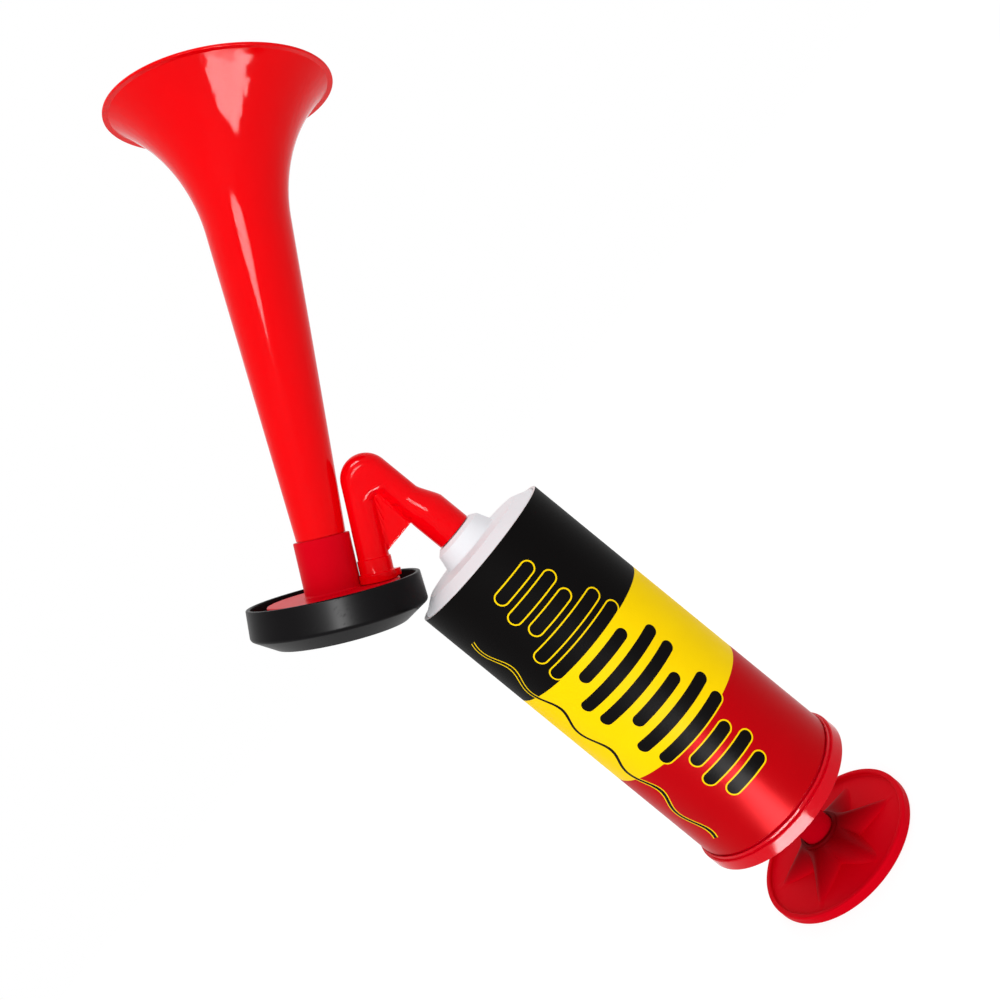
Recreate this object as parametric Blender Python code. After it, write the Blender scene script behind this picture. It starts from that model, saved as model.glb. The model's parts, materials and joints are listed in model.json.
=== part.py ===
"""Hand-pump stadium horn: a reciprocating air pump with a swivelling diaphragm horn on its nose.

The model stands upright on the flat outer face of the pump handle. The origin is the centre of that
face, +Z runs along the pump's axis from the handle to the nozzle, and XZ is the plane of symmetry.
The horn leans from the pump's axis towards +X, and its sound chamber hangs out towards -X.
Every size is in metres.
"""
import math

import bmesh
import bpy
import numpy as np
from mathutils import Matrix, Vector

# Fits and smoothness
CLEARANCE = 0.0003          # between pieces that touch, slide or turn in each other
OVERLAP = 0.0005            # how far shapes of one piece run into each other before they are joined
LARGE_STEPS = 40            # facets round pieces wider than a thumb
SMALL_STEPS = 24            # facets round rods, screws and pipes
FLARE_STEPS = 10            # rings along the flare of the trumpet
BEND_STEPS = 4              # rings round each corner of the hairpin pipe

# Handle: a disc with a raised rim, a star of tapered ribs and a hub that takes the rod
HANDLE_RADIUS = 0.0305
HANDLE_WEB = 0.0018
HANDLE_RIM_WIDTH = 0.0019
HANDLE_RIM_RISE = 0.0014
HANDLE_EDGE_ROUND = 0.0006
HUB_HEIGHT = 0.0094
HUB_WALL = 0.0014
HUB_FLOOR = 0.0037          # plastic left under the end of the rod
STAR_POINTS = 6
STAR_TURN = math.radians(42)
STAR_RIM_GAP = 0.0024       # bare web between the star's tips and the rim
STAR_NOTCH = 0.0031         # how far the star's notches stay outside the hub
STAR_LIP = 0.0010           # height of the hub left standing above the star

# Rod: a tube that is solid at its front end, where the piston screw bites
ROD_RADIUS = 0.0060
ROD_WALL = 0.0017
ROD_SHOWN = 0.0204          # bare rod between hub and cap with the plunger pushed home
ROD_PLUG = 0.0095           # solid plastic behind the screw's tip

# Rear cap: a floor with a rod guide, a band over the barrel's end and a thin bead in front of it
CAP_STEP = 0.0013           # how far the band stands out beyond the printed sleeve
CAP_FLOOR = 0.0020
CAP_BAND_HEIGHT = 0.0042
CAP_BEAD_STEP = 0.0008      # how much smaller the bead's radius is than the band's
CAP_BEAD_HEIGHT = 0.0018
CAP_EDGE_ROUND = 0.0006
GUIDE_WALL = 0.0030
GUIDE_HEIGHT = 0.0112
BUFFER_HEIGHT = 0.0040

# Barrel and printed sleeve
SLEEVE_RADIUS = 0.0300
SLEEVE_WALL = 0.0011
SLEEVE_LENGTH = 0.1255
BARREL_WALL = 0.0018
NOSE_WALL = 0.0022
SHOULDER_HEIGHT = 0.0032
SHOULDER_INSET = 0.0059     # how far the bevelled shoulder draws in from the barrel's side
FACE_RISE = 0.0007
NOSE_LEDGE = 0.0010         # the nose's flat top stands this far outside the elbow's socket
NOSE_BEVEL = 0.0019
NOSE_BEVEL_HEIGHT = 0.0014
NOSE_SPREAD = 0.0019        # how much wider the nose is at its foot than under its bevel
NOSE_HEIGHT = 0.0056
NOZZLE_BORE = 0.0030
NOZZLE_WALL = 0.0017
NOZZLE_LENGTH = 0.0130

# Piston: front plate, soft cup, back plate, washer and screw
PISTON_TOP_GAP = 0.0008     # left under the nose with the plunger pushed home
FRONT_PLATE_FLOOR = 0.0014  # plastic left under the washer
CUP_BASE = 0.0016
CUP_WALL = 0.0013
CUP_LIP_DROP = 0.0007       # how far the cup's lip stays behind the front plate's face
BACK_PLATE = 0.0036
BACK_PLATE_INSET = 0.0010   # how far the back plate stays clear of the bore
BOSS_WALL = 0.0028
BOSS_DEPTH = 0.0057
SCREW_RADIUS = 0.0020
SCREW_BITE = 0.0086         # how far the screw reaches into the rod
SCREW_HEAD_STEP = 0.0020
SCREW_HEAD_HEIGHT = 0.0022
SLOT_WIDTH = 0.0010
SLOT_DEPTH = 0.0009
WASHER_STEP = 0.0015
WASHER_HEIGHT = 0.0008

# Elbow: a socket on the nozzle, a hairpin pipe with a web between its legs, and a foot on the plate
HORN_TILT = math.radians(37.7)      # from the pump's axis to the horn's
PASSAGE_RADIUS = 0.0034
SEAL_WALL = 0.0011
SEAL_HEIGHT = 0.0028
SOCKET_SKIRT = 0.0008               # wall of the socket round the seal
SOCKET_ROOM = 0.0010                # free depth of the socket past the nozzle's end
SOCKET_END = 0.0007                 # full width of the socket left past that room
SOCKET_TAPER = 0.0050
NECK_WALL = 0.0020
NECK_OFFSET = 0.0013                # the neck stands this far towards the horn from the pump's axis
CORNER_SPACING = 0.0058             # between the hairpin's two corners
CROTCH_ROUND = 0.0008               # fillet between its two legs
LEG_WALL = 0.0022
LEG_LENGTH = 0.0363                 # the leg's corner above the cover's rim
LEG_GAP = 0.0005                    # air between the leg and the trumpet beside it
COVER_GAP = 0.0007                  # air between the black cover and the pump's shoulder
WEB_THICKNESS = 0.0026
WEB_RISE = 0.0137                   # the web's straight edge above the socket's mouth
FOOT_FLANGE = 0.0014
FOOT_HEIGHT = 0.0024
FOOT_COLLAR_STEP = 0.0005
FOOT_COLLAR_TOP = 0.0075
LUG_REACH = 0.0014                  # how far the foot's lug stands out
LUG_WIDTH = 0.0050
SPIGOT_WALL = 0.0012
SPIGOT_PROUD = 0.0007               # how far the spigot comes out under the plate

# Sound chamber, measured along the horn's axis from the black cover's rim
PLATE_DROP = 0.0008                 # the plate's face lies this far under the rim
PLATE_THICKNESS = 0.0020
PLATE_MARGIN = 0.0006               # plate left outside the elbow's foot
PLATE_SIDE_WALL = 0.0018
PLATE_FLANGE_DROP = 0.0042
PLATE_FLANGE = 0.0020
THROAT_STEP = 0.0004                # how much narrower the throat is than the trumpet's tail
THROAT_WALL = 0.0014
DIAPHRAGM_THICKNESS = 0.0004
DIAPHRAGM_EDGE_GAP = 0.0006
RING_HEIGHT = 0.0012
RING_WIDTH = 0.0031
TROUGH_WIDTH = 0.0057               # between the plate and the cover's rim
RIM_WALL = 0.0015
COVER_DRAFT = 0.0007                # how much wider the cover is at its chamfer than at its rim
COVER_LEDGE = 0.0017                # plastic under the ledge that carries the ring
COVER_CHAMFER_WIDTH = 0.0083
COVER_CHAMFER_HEIGHT = 0.0053
COVER_FLOOR = 0.0016
SNAP_BEAD = 0.0006
SNAP_BEAD_HEIGHT = 0.0007

# Trumpet and the collar on the plate that it is pushed into
TAIL_RADIUS = 0.0085
TRUMPET_WALL = 0.0013
COLLAR_WALL = 0.00125
COLLAR_TOP = 0.0186                 # above the cover's rim
CONE_STEP = 0.0003                  # the trumpet is this much wider where it leaves the collar
CONE_SLOPE = 0.0567                 # growth of the radius along the cone
CONE_LENGTH = 0.1105
FLARE_LENGTH = 0.0443
FLARE_ROUNDNESS = 0.747             # share of a quarter ellipse that the flare follows, squared
BELL_RADIUS = 0.0399
LIP_HEIGHT = 0.0018
LIP_STEP = 0.0006

# Radii that follow from what they hold
HUB_RADIUS = ROD_RADIUS + CLEARANCE + HUB_WALL
CAP_RADIUS = SLEEVE_RADIUS + CAP_STEP
BARREL_RADIUS = SLEEVE_RADIUS - SLEEVE_WALL - CLEARANCE
BORE_RADIUS = BARREL_RADIUS - BARREL_WALL
SHOULDER_RADIUS = BARREL_RADIUS - SHOULDER_INSET
NOZZLE_RADIUS = NOZZLE_BORE + NOZZLE_WALL
SOCKET_BORE = NOZZLE_RADIUS + CLEARANCE
SEAL_SEAT_RADIUS = SOCKET_BORE + SEAL_WALL + CLEARANCE
SOCKET_RADIUS = SEAL_SEAT_RADIUS + SOCKET_SKIRT
NOSE_LIP_RADIUS = SOCKET_RADIUS + NOSE_LEDGE
NOSE_TOP_RADIUS = NOSE_LIP_RADIUS + NOSE_BEVEL
NOSE_FOOT_RADIUS = NOSE_TOP_RADIUS + NOSE_SPREAD
SCREW_HOLE = SCREW_RADIUS + CLEARANCE
SCREW_HEAD_RADIUS = SCREW_RADIUS + SCREW_HEAD_STEP
WASHER_RADIUS = SCREW_HEAD_RADIUS + WASHER_STEP
NECK_RADIUS = PASSAGE_RADIUS + NECK_WALL
LEG_RADIUS = PASSAGE_RADIUS + LEG_WALL
SPIGOT_RADIUS = PASSAGE_RADIUS + SPIGOT_WALL
FOOT_COLLAR_RADIUS = LEG_RADIUS + FOOT_COLLAR_STEP
FOOT_RADIUS = LEG_RADIUS + FOOT_FLANGE
SEAT_RADIUS = TAIL_RADIUS + CLEARANCE
COLLAR_RADIUS = SEAT_RADIUS + COLLAR_WALL
CONE_RADIUS = TAIL_RADIUS + CONE_STEP
THROAT_RADIUS = TAIL_RADIUS - TRUMPET_WALL - THROAT_STEP
BESIDE_LEG = CONE_RADIUS + CONE_SLOPE * (LEG_LENGTH + LEG_RADIUS - COLLAR_TOP)
LEG_SPACING = max(COLLAR_RADIUS, BESIDE_LEG) + LEG_GAP + LEG_RADIUS
PLATE_RADIUS = LEG_SPACING + FOOT_RADIUS + PLATE_MARGIN
COVER_INSIDE_RADIUS = PLATE_RADIUS + TROUGH_WIDTH
RIM_RADIUS = COVER_INSIDE_RADIUS + RIM_WALL
COVER_WIDEST_RADIUS = RIM_RADIUS + COVER_DRAFT
COVER_BASE_RADIUS = COVER_WIDEST_RADIUS - COVER_CHAMFER_WIDTH
FLANGE_RADIUS = COVER_INSIDE_RADIUS - CLEARANCE
DIAPHRAGM_RADIUS = FLANGE_RADIUS - DIAPHRAGM_EDGE_GAP
RING_INSIDE_RADIUS = DIAPHRAGM_RADIUS - RING_WIDTH

# Places along the pump's axis
HANDLE_RIM_TOP = HANDLE_WEB + HANDLE_RIM_RISE
ROD_REAR_Z = HUB_FLOOR + CLEARANCE
CAP_REAR_Z = HUB_HEIGHT + ROD_SHOWN
CAP_FLOOR_Z = CAP_REAR_Z + CAP_FLOOR
CAP_BAND_Z = CAP_REAR_Z + CAP_BAND_HEIGHT
CAP_BEAD_Z = CAP_BAND_Z + CAP_BEAD_HEIGHT
GUIDE_Z = CAP_FLOOR_Z + GUIDE_HEIGHT
BUFFER_Z = GUIDE_Z + CLEARANCE
BARREL_REAR_Z = CAP_FLOOR_Z + CLEARANCE
SLEEVE_REAR_Z = CAP_BEAD_Z + CLEARANCE
SLEEVE_FRONT_Z = SLEEVE_REAR_Z + SLEEVE_LENGTH
SHOULDER_Z = SLEEVE_FRONT_Z + SHOULDER_HEIGHT
FACE_Z = SHOULDER_Z + FACE_RISE
NOSE_TOP_Z = FACE_Z + NOSE_HEIGHT
NOZZLE_ROOT_Z = NOSE_TOP_Z + NOSE_BEVEL_HEIGHT
NOZZLE_END_Z = NOZZLE_ROOT_Z + NOZZLE_LENGTH
BORE_END_Z = SLEEVE_FRONT_Z - NOSE_WALL
NOSE_INSIDE_Z = SHOULDER_Z - NOSE_WALL
FRONT_PLATE_TOP_Z = BORE_END_Z - PISTON_TOP_GAP
SCREW_TOP_Z = FRONT_PLATE_TOP_Z - CLEARANCE
SCREW_NECK_Z = SCREW_TOP_Z - SCREW_HEAD_HEIGHT
WASHER_TOP_Z = SCREW_NECK_Z - CLEARANCE
WASHER_Z = WASHER_TOP_Z - WASHER_HEIGHT
RECESS_Z = WASHER_Z - CLEARANCE
FRONT_PLATE_Z = RECESS_Z - FRONT_PLATE_FLOOR
CUP_TOP_Z = FRONT_PLATE_Z - CLEARANCE
CUP_Z = CUP_TOP_Z - CUP_BASE
BACK_PLATE_TOP_Z = CUP_Z - CLEARANCE
BACK_PLATE_Z = BACK_PLATE_TOP_Z - BACK_PLATE
BOSS_Z = BACK_PLATE_Z - BOSS_DEPTH
ROD_FRONT_Z = BACK_PLATE_Z - CLEARANCE
SCREW_TIP_Z = ROD_FRONT_Z - SCREW_BITE
SOCKET_MOUTH_Z = NOZZLE_ROOT_Z + CLEARANCE
SEAL_TOP_Z = SOCKET_MOUTH_Z + SEAL_HEIGHT
SOCKET_ROOM_Z = NOZZLE_END_Z + SOCKET_ROOM
SWELL_Z = SOCKET_ROOM_Z + SOCKET_END

# Places along the horn's axis
PLATE_FACE = -PLATE_DROP
PLATE_UNDER = PLATE_FACE - PLATE_THICKNESS
FLANGE_TOP = -PLATE_FLANGE_DROP
FLANGE_UNDER = FLANGE_TOP - PLATE_FLANGE
DIAPHRAGM_TOP = FLANGE_UNDER - CLEARANCE
DIAPHRAGM_UNDER = DIAPHRAGM_TOP - DIAPHRAGM_THICKNESS
RING_TOP = DIAPHRAGM_UNDER - CLEARANCE
RING_UNDER = RING_TOP - RING_HEIGHT
LEDGE = RING_UNDER - CLEARANCE
COVER_SIDE_END = LEDGE - COVER_LEDGE
COVER_BASE = COVER_SIDE_END - COVER_CHAMFER_HEIGHT
COVER_INSIDE = COVER_BASE + COVER_FLOOR
FOOT_UNDER = PLATE_FACE + CLEARANCE
SPIGOT_END = PLATE_UNDER - SPIGOT_PROUD
TRUMPET_TAIL = CLEARANCE
CONE_START = COLLAR_TOP + CLEARANCE
FLARE_START = COLLAR_TOP + CONE_LENGTH
BELL_TOP = FLARE_START + FLARE_LENGTH

# Outer outlines that must clear each other, as (radius, height) pairs from the middle outwards
PUMP_ROOF = [(NOSE_LIP_RADIUS, NOZZLE_ROOT_Z), (NOSE_TOP_RADIUS, NOSE_TOP_Z),
             (NOSE_FOOT_RADIUS, FACE_Z), (SHOULDER_RADIUS, SHOULDER_Z),
             (BARREL_RADIUS, SLEEVE_FRONT_Z), (SLEEVE_RADIUS, SLEEVE_FRONT_Z)]
COVER_SIDE = [(COVER_BASE_RADIUS, COVER_BASE), (COVER_WIDEST_RADIUS, COVER_SIDE_END),
              (RIM_RADIUS, 0)]

# The horn's own frame: its origin is the centre of the cover's rim, and +Z there runs up the trumpet
HORN_AXIS = Vector((math.sin(HORN_TILT), 0, math.cos(HORN_TILT)))
HORN_SIDE = Vector((math.cos(HORN_TILT), 0, -math.sin(HORN_TILT)))


def rim_height(rim_x):
    """How high the cover's rim centre must lie for the cover to clear the pump below it."""
    under = [HORN_SIDE * radius + HORN_AXIS * height for radius, height in COVER_SIDE]
    under_x = [rim_x + corner.x for corner in under]
    under_z = [corner.z for corner in under]
    roof_x = [-radius for radius, height in reversed(PUMP_ROOF)]
    roof_z = [height for radius, height in reversed(PUMP_ROOF)]
    places = [x for x in under_x + roof_x if under_x[0] <= x <= under_x[-1]]
    needs = [np.interp(x, roof_x, roof_z, left=0) - np.interp(x, under_x, under_z) for x in places]
    return max(needs) + COVER_GAP


LEG_CORNER_X = -NECK_OFFSET - CORNER_SPACING
RIM_X = LEG_CORNER_X - HORN_AXIS.x * LEG_LENGTH - HORN_SIDE.x * LEG_SPACING
RIM_CENTRE = Vector((RIM_X, 0, rim_height(RIM_X)))
LEG_CORNER = RIM_CENTRE + HORN_AXIS * LEG_LENGTH + HORN_SIDE * LEG_SPACING
NECK_CORNER = LEG_CORNER + Vector((CORNER_SPACING, 0, 0))
HORN_FRAME = Matrix.Translation(RIM_CENTRE) @ Matrix.Rotation(HORN_TILT, 4, "Y")
LEG_FRAME = HORN_FRAME @ Matrix.Translation((LEG_SPACING, 0, 0))


def clear_scene():
    """Removes whatever the scene holds."""
    for thing in list(bpy.data.objects):
        bpy.data.objects.remove(thing)


def plastic(name, colour, roughness, metallic=0.0):
    """A Principled material in one colour."""
    material = bpy.data.materials.new(name)
    material.use_nodes = True
    shader = material.node_tree.nodes["Principled BSDF"]
    shader.inputs["Base Color"].default_value = (*colour, 1)
    shader.inputs["Roughness"].default_value = roughness
    shader.inputs["Metallic"].default_value = metallic
    return material


def add_piece(name, mesh_builder, material, frame):
    """Puts a finished bmesh into the scene as one object with its own material."""
    bmesh.ops.remove_doubles(mesh_builder, verts=mesh_builder.verts, dist=1e-7)
    bmesh.ops.recalc_face_normals(mesh_builder, faces=mesh_builder.faces)
    mesh = bpy.data.meshes.new(name)
    mesh_builder.to_mesh(mesh)
    mesh_builder.free()
    mesh.shade_smooth()
    mesh.set_sharp_from_angle(angle=math.radians(35))
    piece = bpy.data.objects.new(name, mesh)
    piece.matrix_world = frame
    if material:
        mesh.materials.append(material)
    bpy.context.scene.collection.objects.link(piece)
    return piece


def turned(name, outline, material=None, frame=None, steps=LARGE_STEPS):
    """A piece turned round its frame's Z: outline is its closed section as (radius, height) pairs."""
    builder = bmesh.new()
    points = [builder.verts.new((radius, 0, height)) for radius, height in outline]
    edges = [builder.edges.new((a, b)) for a, b in zip(points, points[1:])]
    if outline[0][0] > 0 or outline[-1][0] > 0:
        edges.append(builder.edges.new((points[-1], points[0])))
    bmesh.ops.spin(builder, geom=points + edges, cent=(0, 0, 0), axis=(0, 0, 1),
                   angle=2 * math.pi, steps=steps, use_merge=True, use_duplicate=False)
    return add_piece(name, builder, material, frame or Matrix.Identity(4))


def lofted(name, rings, material=None, frame=None):
    """A closed solid through rings of points: flat ends, and quads between one ring and the next."""
    builder = bmesh.new()
    loops = [[builder.verts.new(point) for point in ring] for ring in rings]
    for lower, upper in zip(loops, loops[1:]):
        for i in range(len(lower)):
            j = (i + 1) % len(lower)
            builder.faces.new((lower[i], lower[j], upper[j], upper[i]))
    builder.faces.new(reversed(loops[0]))
    builder.faces.new(loops[-1])
    return add_piece(name, builder, material, frame or Matrix.Identity(4))


def circle(radius, height, centre_x=0.0, steps=SMALL_STEPS, first=0.0):
    """Points of a level circle; first is the share of a step that the first point is turned by."""
    angles = [2 * math.pi * (i + first) / steps for i in range(steps)]
    return [(centre_x + radius * math.cos(a), radius * math.sin(a), height) for a in angles]


def block(name, low, high, frame=None):
    """A box between two corners."""
    rings = []
    for height in (low[2], high[2]):
        rings.append([(low[0], low[1], height), (high[0], low[1], height),
                      (high[0], high[1], height), (low[0], high[1], height)])
    return lofted(name, rings, frame=frame)


def hang(pieces, carrier):
    """Makes pieces move with their carrier, each from the place where it stands."""
    for piece in pieces:
        piece.parent = carrier
        piece.matrix_parent_inverse = carrier.matrix_world.inverted()


def joint_axis(name, height):
    """An empty on the pump's axis, which carries the pieces that move about it or along it."""
    empty = bpy.data.objects.new(name, None)
    empty.empty_display_type = "SINGLE_ARROW"
    empty.matrix_world = Matrix.Translation((0, 0, height))
    bpy.context.scene.collection.objects.link(empty)
    return empty


def combine(target, operation, others):
    """Joins guide shapes to a piece, or cuts them from it, and keeps them as hidden wires."""
    hang(others, target)
    for other in others:
        other.hide_render = True
        other.display_type = "WIRE"
        modifier = target.modifiers.new(other.name, "BOOLEAN")
        modifier.operation = operation
        modifier.solver = "EXACT"
        modifier.object = other


def make_handle(material):
    """Palm disc with a rim, a six-pointed star of ribs, and a hub bored for the rod."""
    inner = HANDLE_RADIUS - HANDLE_RIM_WIDTH
    edge = HANDLE_EDGE_ROUND
    handle = turned("handle_disc", [
        (0, 0), (HANDLE_RADIUS - edge, 0), (HANDLE_RADIUS, edge),
        (HANDLE_RADIUS, HANDLE_RIM_TOP - edge), (HANDLE_RADIUS - edge, HANDLE_RIM_TOP),
        (inner, HANDLE_RIM_TOP - edge), (inner - edge, HANDLE_WEB),
        (HUB_RADIUS, HANDLE_WEB), (HUB_RADIUS, HUB_HEIGHT), (0, HUB_HEIGHT)], material)
    star, crown = [], []
    for i in range(2 * STAR_POINTS):
        angle = STAR_TURN + math.pi * i / STAR_POINTS
        reach = HUB_RADIUS + STAR_NOTCH if i % 2 else inner - STAR_RIM_GAP
        crown_reach = HUB_RADIUS + CLEARANCE
        star.append((reach * math.cos(angle), reach * math.sin(angle), HANDLE_WEB / 2))
        crown.append((crown_reach * math.cos(angle), crown_reach * math.sin(angle),
                      HUB_HEIGHT - STAR_LIP))
    ribs = lofted("handle_star", [star, crown])
    seat = turned("handle_seat", [(0, HUB_FLOOR), (ROD_RADIUS + CLEARANCE, HUB_FLOOR),
                                  (ROD_RADIUS + CLEARANCE, HUB_HEIGHT + OVERLAP),
                                  (0, HUB_HEIGHT + OVERLAP)], steps=SMALL_STEPS)
    combine(handle, "UNION", [ribs])
    combine(handle, "DIFFERENCE", [seat])
    return handle


def make_rod(material):
    """Rod, open at its rear, with a pilot hole for the piston screw in its solid front."""
    inside = ROD_RADIUS - ROD_WALL
    pilot_end = SCREW_TIP_Z - CLEARANCE
    plug_end = pilot_end - ROD_PLUG
    return turned("plunger_rod", [
        (0, plug_end), (inside, plug_end), (inside, ROD_REAR_Z), (ROD_RADIUS, ROD_REAR_Z),
        (ROD_RADIUS, ROD_FRONT_Z), (SCREW_HOLE, ROD_FRONT_Z), (SCREW_HOLE, pilot_end),
        (0, pilot_end)], material, steps=SMALL_STEPS)


def make_rear_cap(material):
    """Cap over the barrel's end: floor, rod guide, band and bead."""
    bore = ROD_RADIUS + CLEARANCE
    skirt = BARREL_RADIUS + CLEARANCE
    bead = CAP_RADIUS - CAP_BEAD_STEP
    edge = CAP_EDGE_ROUND
    return turned("rear_cap", [
        (bore, CAP_REAR_Z), (CAP_RADIUS - edge, CAP_REAR_Z), (CAP_RADIUS, CAP_REAR_Z + edge),
        (CAP_RADIUS, CAP_BAND_Z - edge), (CAP_RADIUS - edge, CAP_BAND_Z), (bead, CAP_BAND_Z),
        (bead, CAP_BEAD_Z), (skirt, CAP_BEAD_Z), (skirt, CAP_FLOOR_Z),
        (bore + GUIDE_WALL, CAP_FLOOR_Z), (bore + GUIDE_WALL, GUIDE_Z), (bore, GUIDE_Z)], material)


def make_barrel(material):
    """Pump barrel with its bevelled shoulder, nose and hollow nozzle in one moulding."""
    return turned("barrel", [
        (BARREL_RADIUS, BARREL_REAR_Z), (BARREL_RADIUS, SLEEVE_FRONT_Z),
        (SHOULDER_RADIUS, SHOULDER_Z), (NOSE_FOOT_RADIUS, FACE_Z), (NOSE_TOP_RADIUS, NOSE_TOP_Z),
        (NOSE_LIP_RADIUS, NOZZLE_ROOT_Z), (NOZZLE_RADIUS, NOZZLE_ROOT_Z),
        (NOZZLE_RADIUS, NOZZLE_END_Z), (NOZZLE_BORE, NOZZLE_END_Z), (NOZZLE_BORE, NOSE_INSIDE_Z),
        (SHOULDER_RADIUS - BARREL_WALL, NOSE_INSIDE_Z), (BORE_RADIUS, BORE_END_Z),
        (BORE_RADIUS, BARREL_REAR_Z)], material)


def make_sleeve(material):
    """Printed tube drawn over the barrel."""
    inside = SLEEVE_RADIUS - SLEEVE_WALL
    return turned("print_sleeve", [
        (SLEEVE_RADIUS, SLEEVE_REAR_Z), (SLEEVE_RADIUS, SLEEVE_FRONT_Z),
        (inside, SLEEVE_FRONT_Z), (inside, SLEEVE_REAR_Z)], material)


def make_buffer(material):
    """Soft ring on the rod guide, which stops the piston at the end of the pull."""
    inside = ROD_RADIUS + 2 * CLEARANCE
    outside = ROD_RADIUS + GUIDE_WALL
    top = BUFFER_Z + BUFFER_HEIGHT
    return turned("stop_buffer", [(inside, BUFFER_Z), (outside, BUFFER_Z), (outside, top),
                                  (inside, top)], material, steps=SMALL_STEPS)


def make_piston(plates, soft, steel):
    """Front plate, cup, back plate, washer and screw, stacked on the rod's front end."""
    cup_radius = BORE_RADIUS - CLEARANCE
    plate_radius = cup_radius - CUP_WALL - CLEARANCE
    recess = WASHER_RADIUS + CLEARANCE
    lip_z = FRONT_PLATE_TOP_Z - CUP_LIP_DROP
    seat = ROD_RADIUS + CLEARANCE
    back_radius = BORE_RADIUS - BACK_PLATE_INSET
    front = turned("piston_front_plate", [
        (SCREW_HOLE, FRONT_PLATE_Z), (plate_radius, FRONT_PLATE_Z),
        (plate_radius, FRONT_PLATE_TOP_Z), (recess, FRONT_PLATE_TOP_Z), (recess, RECESS_Z),
        (SCREW_HOLE, RECESS_Z)], plates)
    cup = turned("piston_cup", [
        (SCREW_HOLE, CUP_Z), (cup_radius, CUP_Z), (cup_radius, lip_z),
        (cup_radius - CUP_WALL, lip_z), (cup_radius - CUP_WALL, CUP_TOP_Z),
        (SCREW_HOLE, CUP_TOP_Z)], soft)
    back = turned("piston_back_plate", [
        (SCREW_HOLE, BACK_PLATE_Z), (seat, BACK_PLATE_Z), (seat, BOSS_Z), (seat + BOSS_WALL, BOSS_Z),
        (seat + BOSS_WALL, BACK_PLATE_Z), (back_radius, BACK_PLATE_Z),
        (back_radius, BACK_PLATE_TOP_Z), (SCREW_HOLE, BACK_PLATE_TOP_Z)], plates)
    washer = turned("piston_washer", [
        (SCREW_HOLE, WASHER_Z), (WASHER_RADIUS, WASHER_Z), (WASHER_RADIUS, WASHER_TOP_Z),
        (SCREW_HOLE, WASHER_TOP_Z)], steel, steps=SMALL_STEPS)
    screw = turned("piston_screw", [
        (0, SCREW_TIP_Z), (SCREW_RADIUS, SCREW_TIP_Z + SCREW_RADIUS), (SCREW_RADIUS, SCREW_NECK_Z),
        (SCREW_HEAD_RADIUS, SCREW_NECK_Z), (SCREW_HEAD_RADIUS, SCREW_TOP_Z), (0, SCREW_TOP_Z)],
        steel, steps=SMALL_STEPS)
    reach = SCREW_HEAD_RADIUS + OVERLAP
    slot = block("screw_slot", (-reach, -SLOT_WIDTH / 2, SCREW_TOP_Z - SLOT_DEPTH),
                 (reach, SLOT_WIDTH / 2, SCREW_TOP_Z + OVERLAP))
    combine(screw, "DIFFERENCE", [slot])
    return [front, cup, back, washer, screw]


def oval(start, end, half_width):
    """A ring round the line from start to end, which lies in the XZ plane: an ellipse seen along Y."""
    middle, reach = (start + end) / 2, (end - start) / 2
    angles = [2 * math.pi * i / SMALL_STEPS for i in range(SMALL_STEPS)]
    return [middle + reach * math.cos(a) + Vector((0, half_width * math.sin(a), 0)) for a in angles]


def leg_ring(radius, height):
    """A ring of the elbow's leg, square to it, at a height above the cover's rim."""
    middle = LEG_FRAME @ Vector((0, 0, height))
    return oval(middle + HORN_SIDE * radius, middle - HORN_SIDE * radius, radius)


def hairpin(neck_radius, leg_radius):
    """Rings round both corners of the hairpin.

    They fan out from the crotch between the legs. Each ring runs from the crotch's fillet to the
    outer side of the bend, which is straight beside the legs and round about the two corners.
    """
    crotch_x = NECK_CORNER.x - neck_radius - CROTCH_ROUND
    level = (crotch_x - LEG_CORNER.x) * HORN_SIDE.x - leg_radius - CROTCH_ROUND
    crotch = Vector((crotch_x, 0, LEG_CORNER.z + level / HORN_AXIS.x))
    outer = [crotch + Vector((CROTCH_ROUND + 2 * neck_radius, 0, 0))]
    for corner, radius, first, last in ((NECK_CORNER, neck_radius, 0, math.pi / 2),
                                        (LEG_CORNER, leg_radius, math.pi / 2, math.pi - HORN_TILT)):
        for i in range(BEND_STEPS + 1):
            angle = first + (last - first) * i / BEND_STEPS
            outer.append(corner + Vector((math.cos(angle), 0, math.sin(angle))) * radius)
    outer.append(crotch - HORN_SIDE * (CROTCH_ROUND + 2 * leg_radius))
    rings = []
    for i, point in enumerate(outer):
        inner = crotch + (point - crotch).normalized() * CROTCH_ROUND
        half_width = neck_radius + (leg_radius - neck_radius) * i / (len(outer) - 1)
        rings.append(oval(inner, point, half_width))
    return rings


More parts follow.
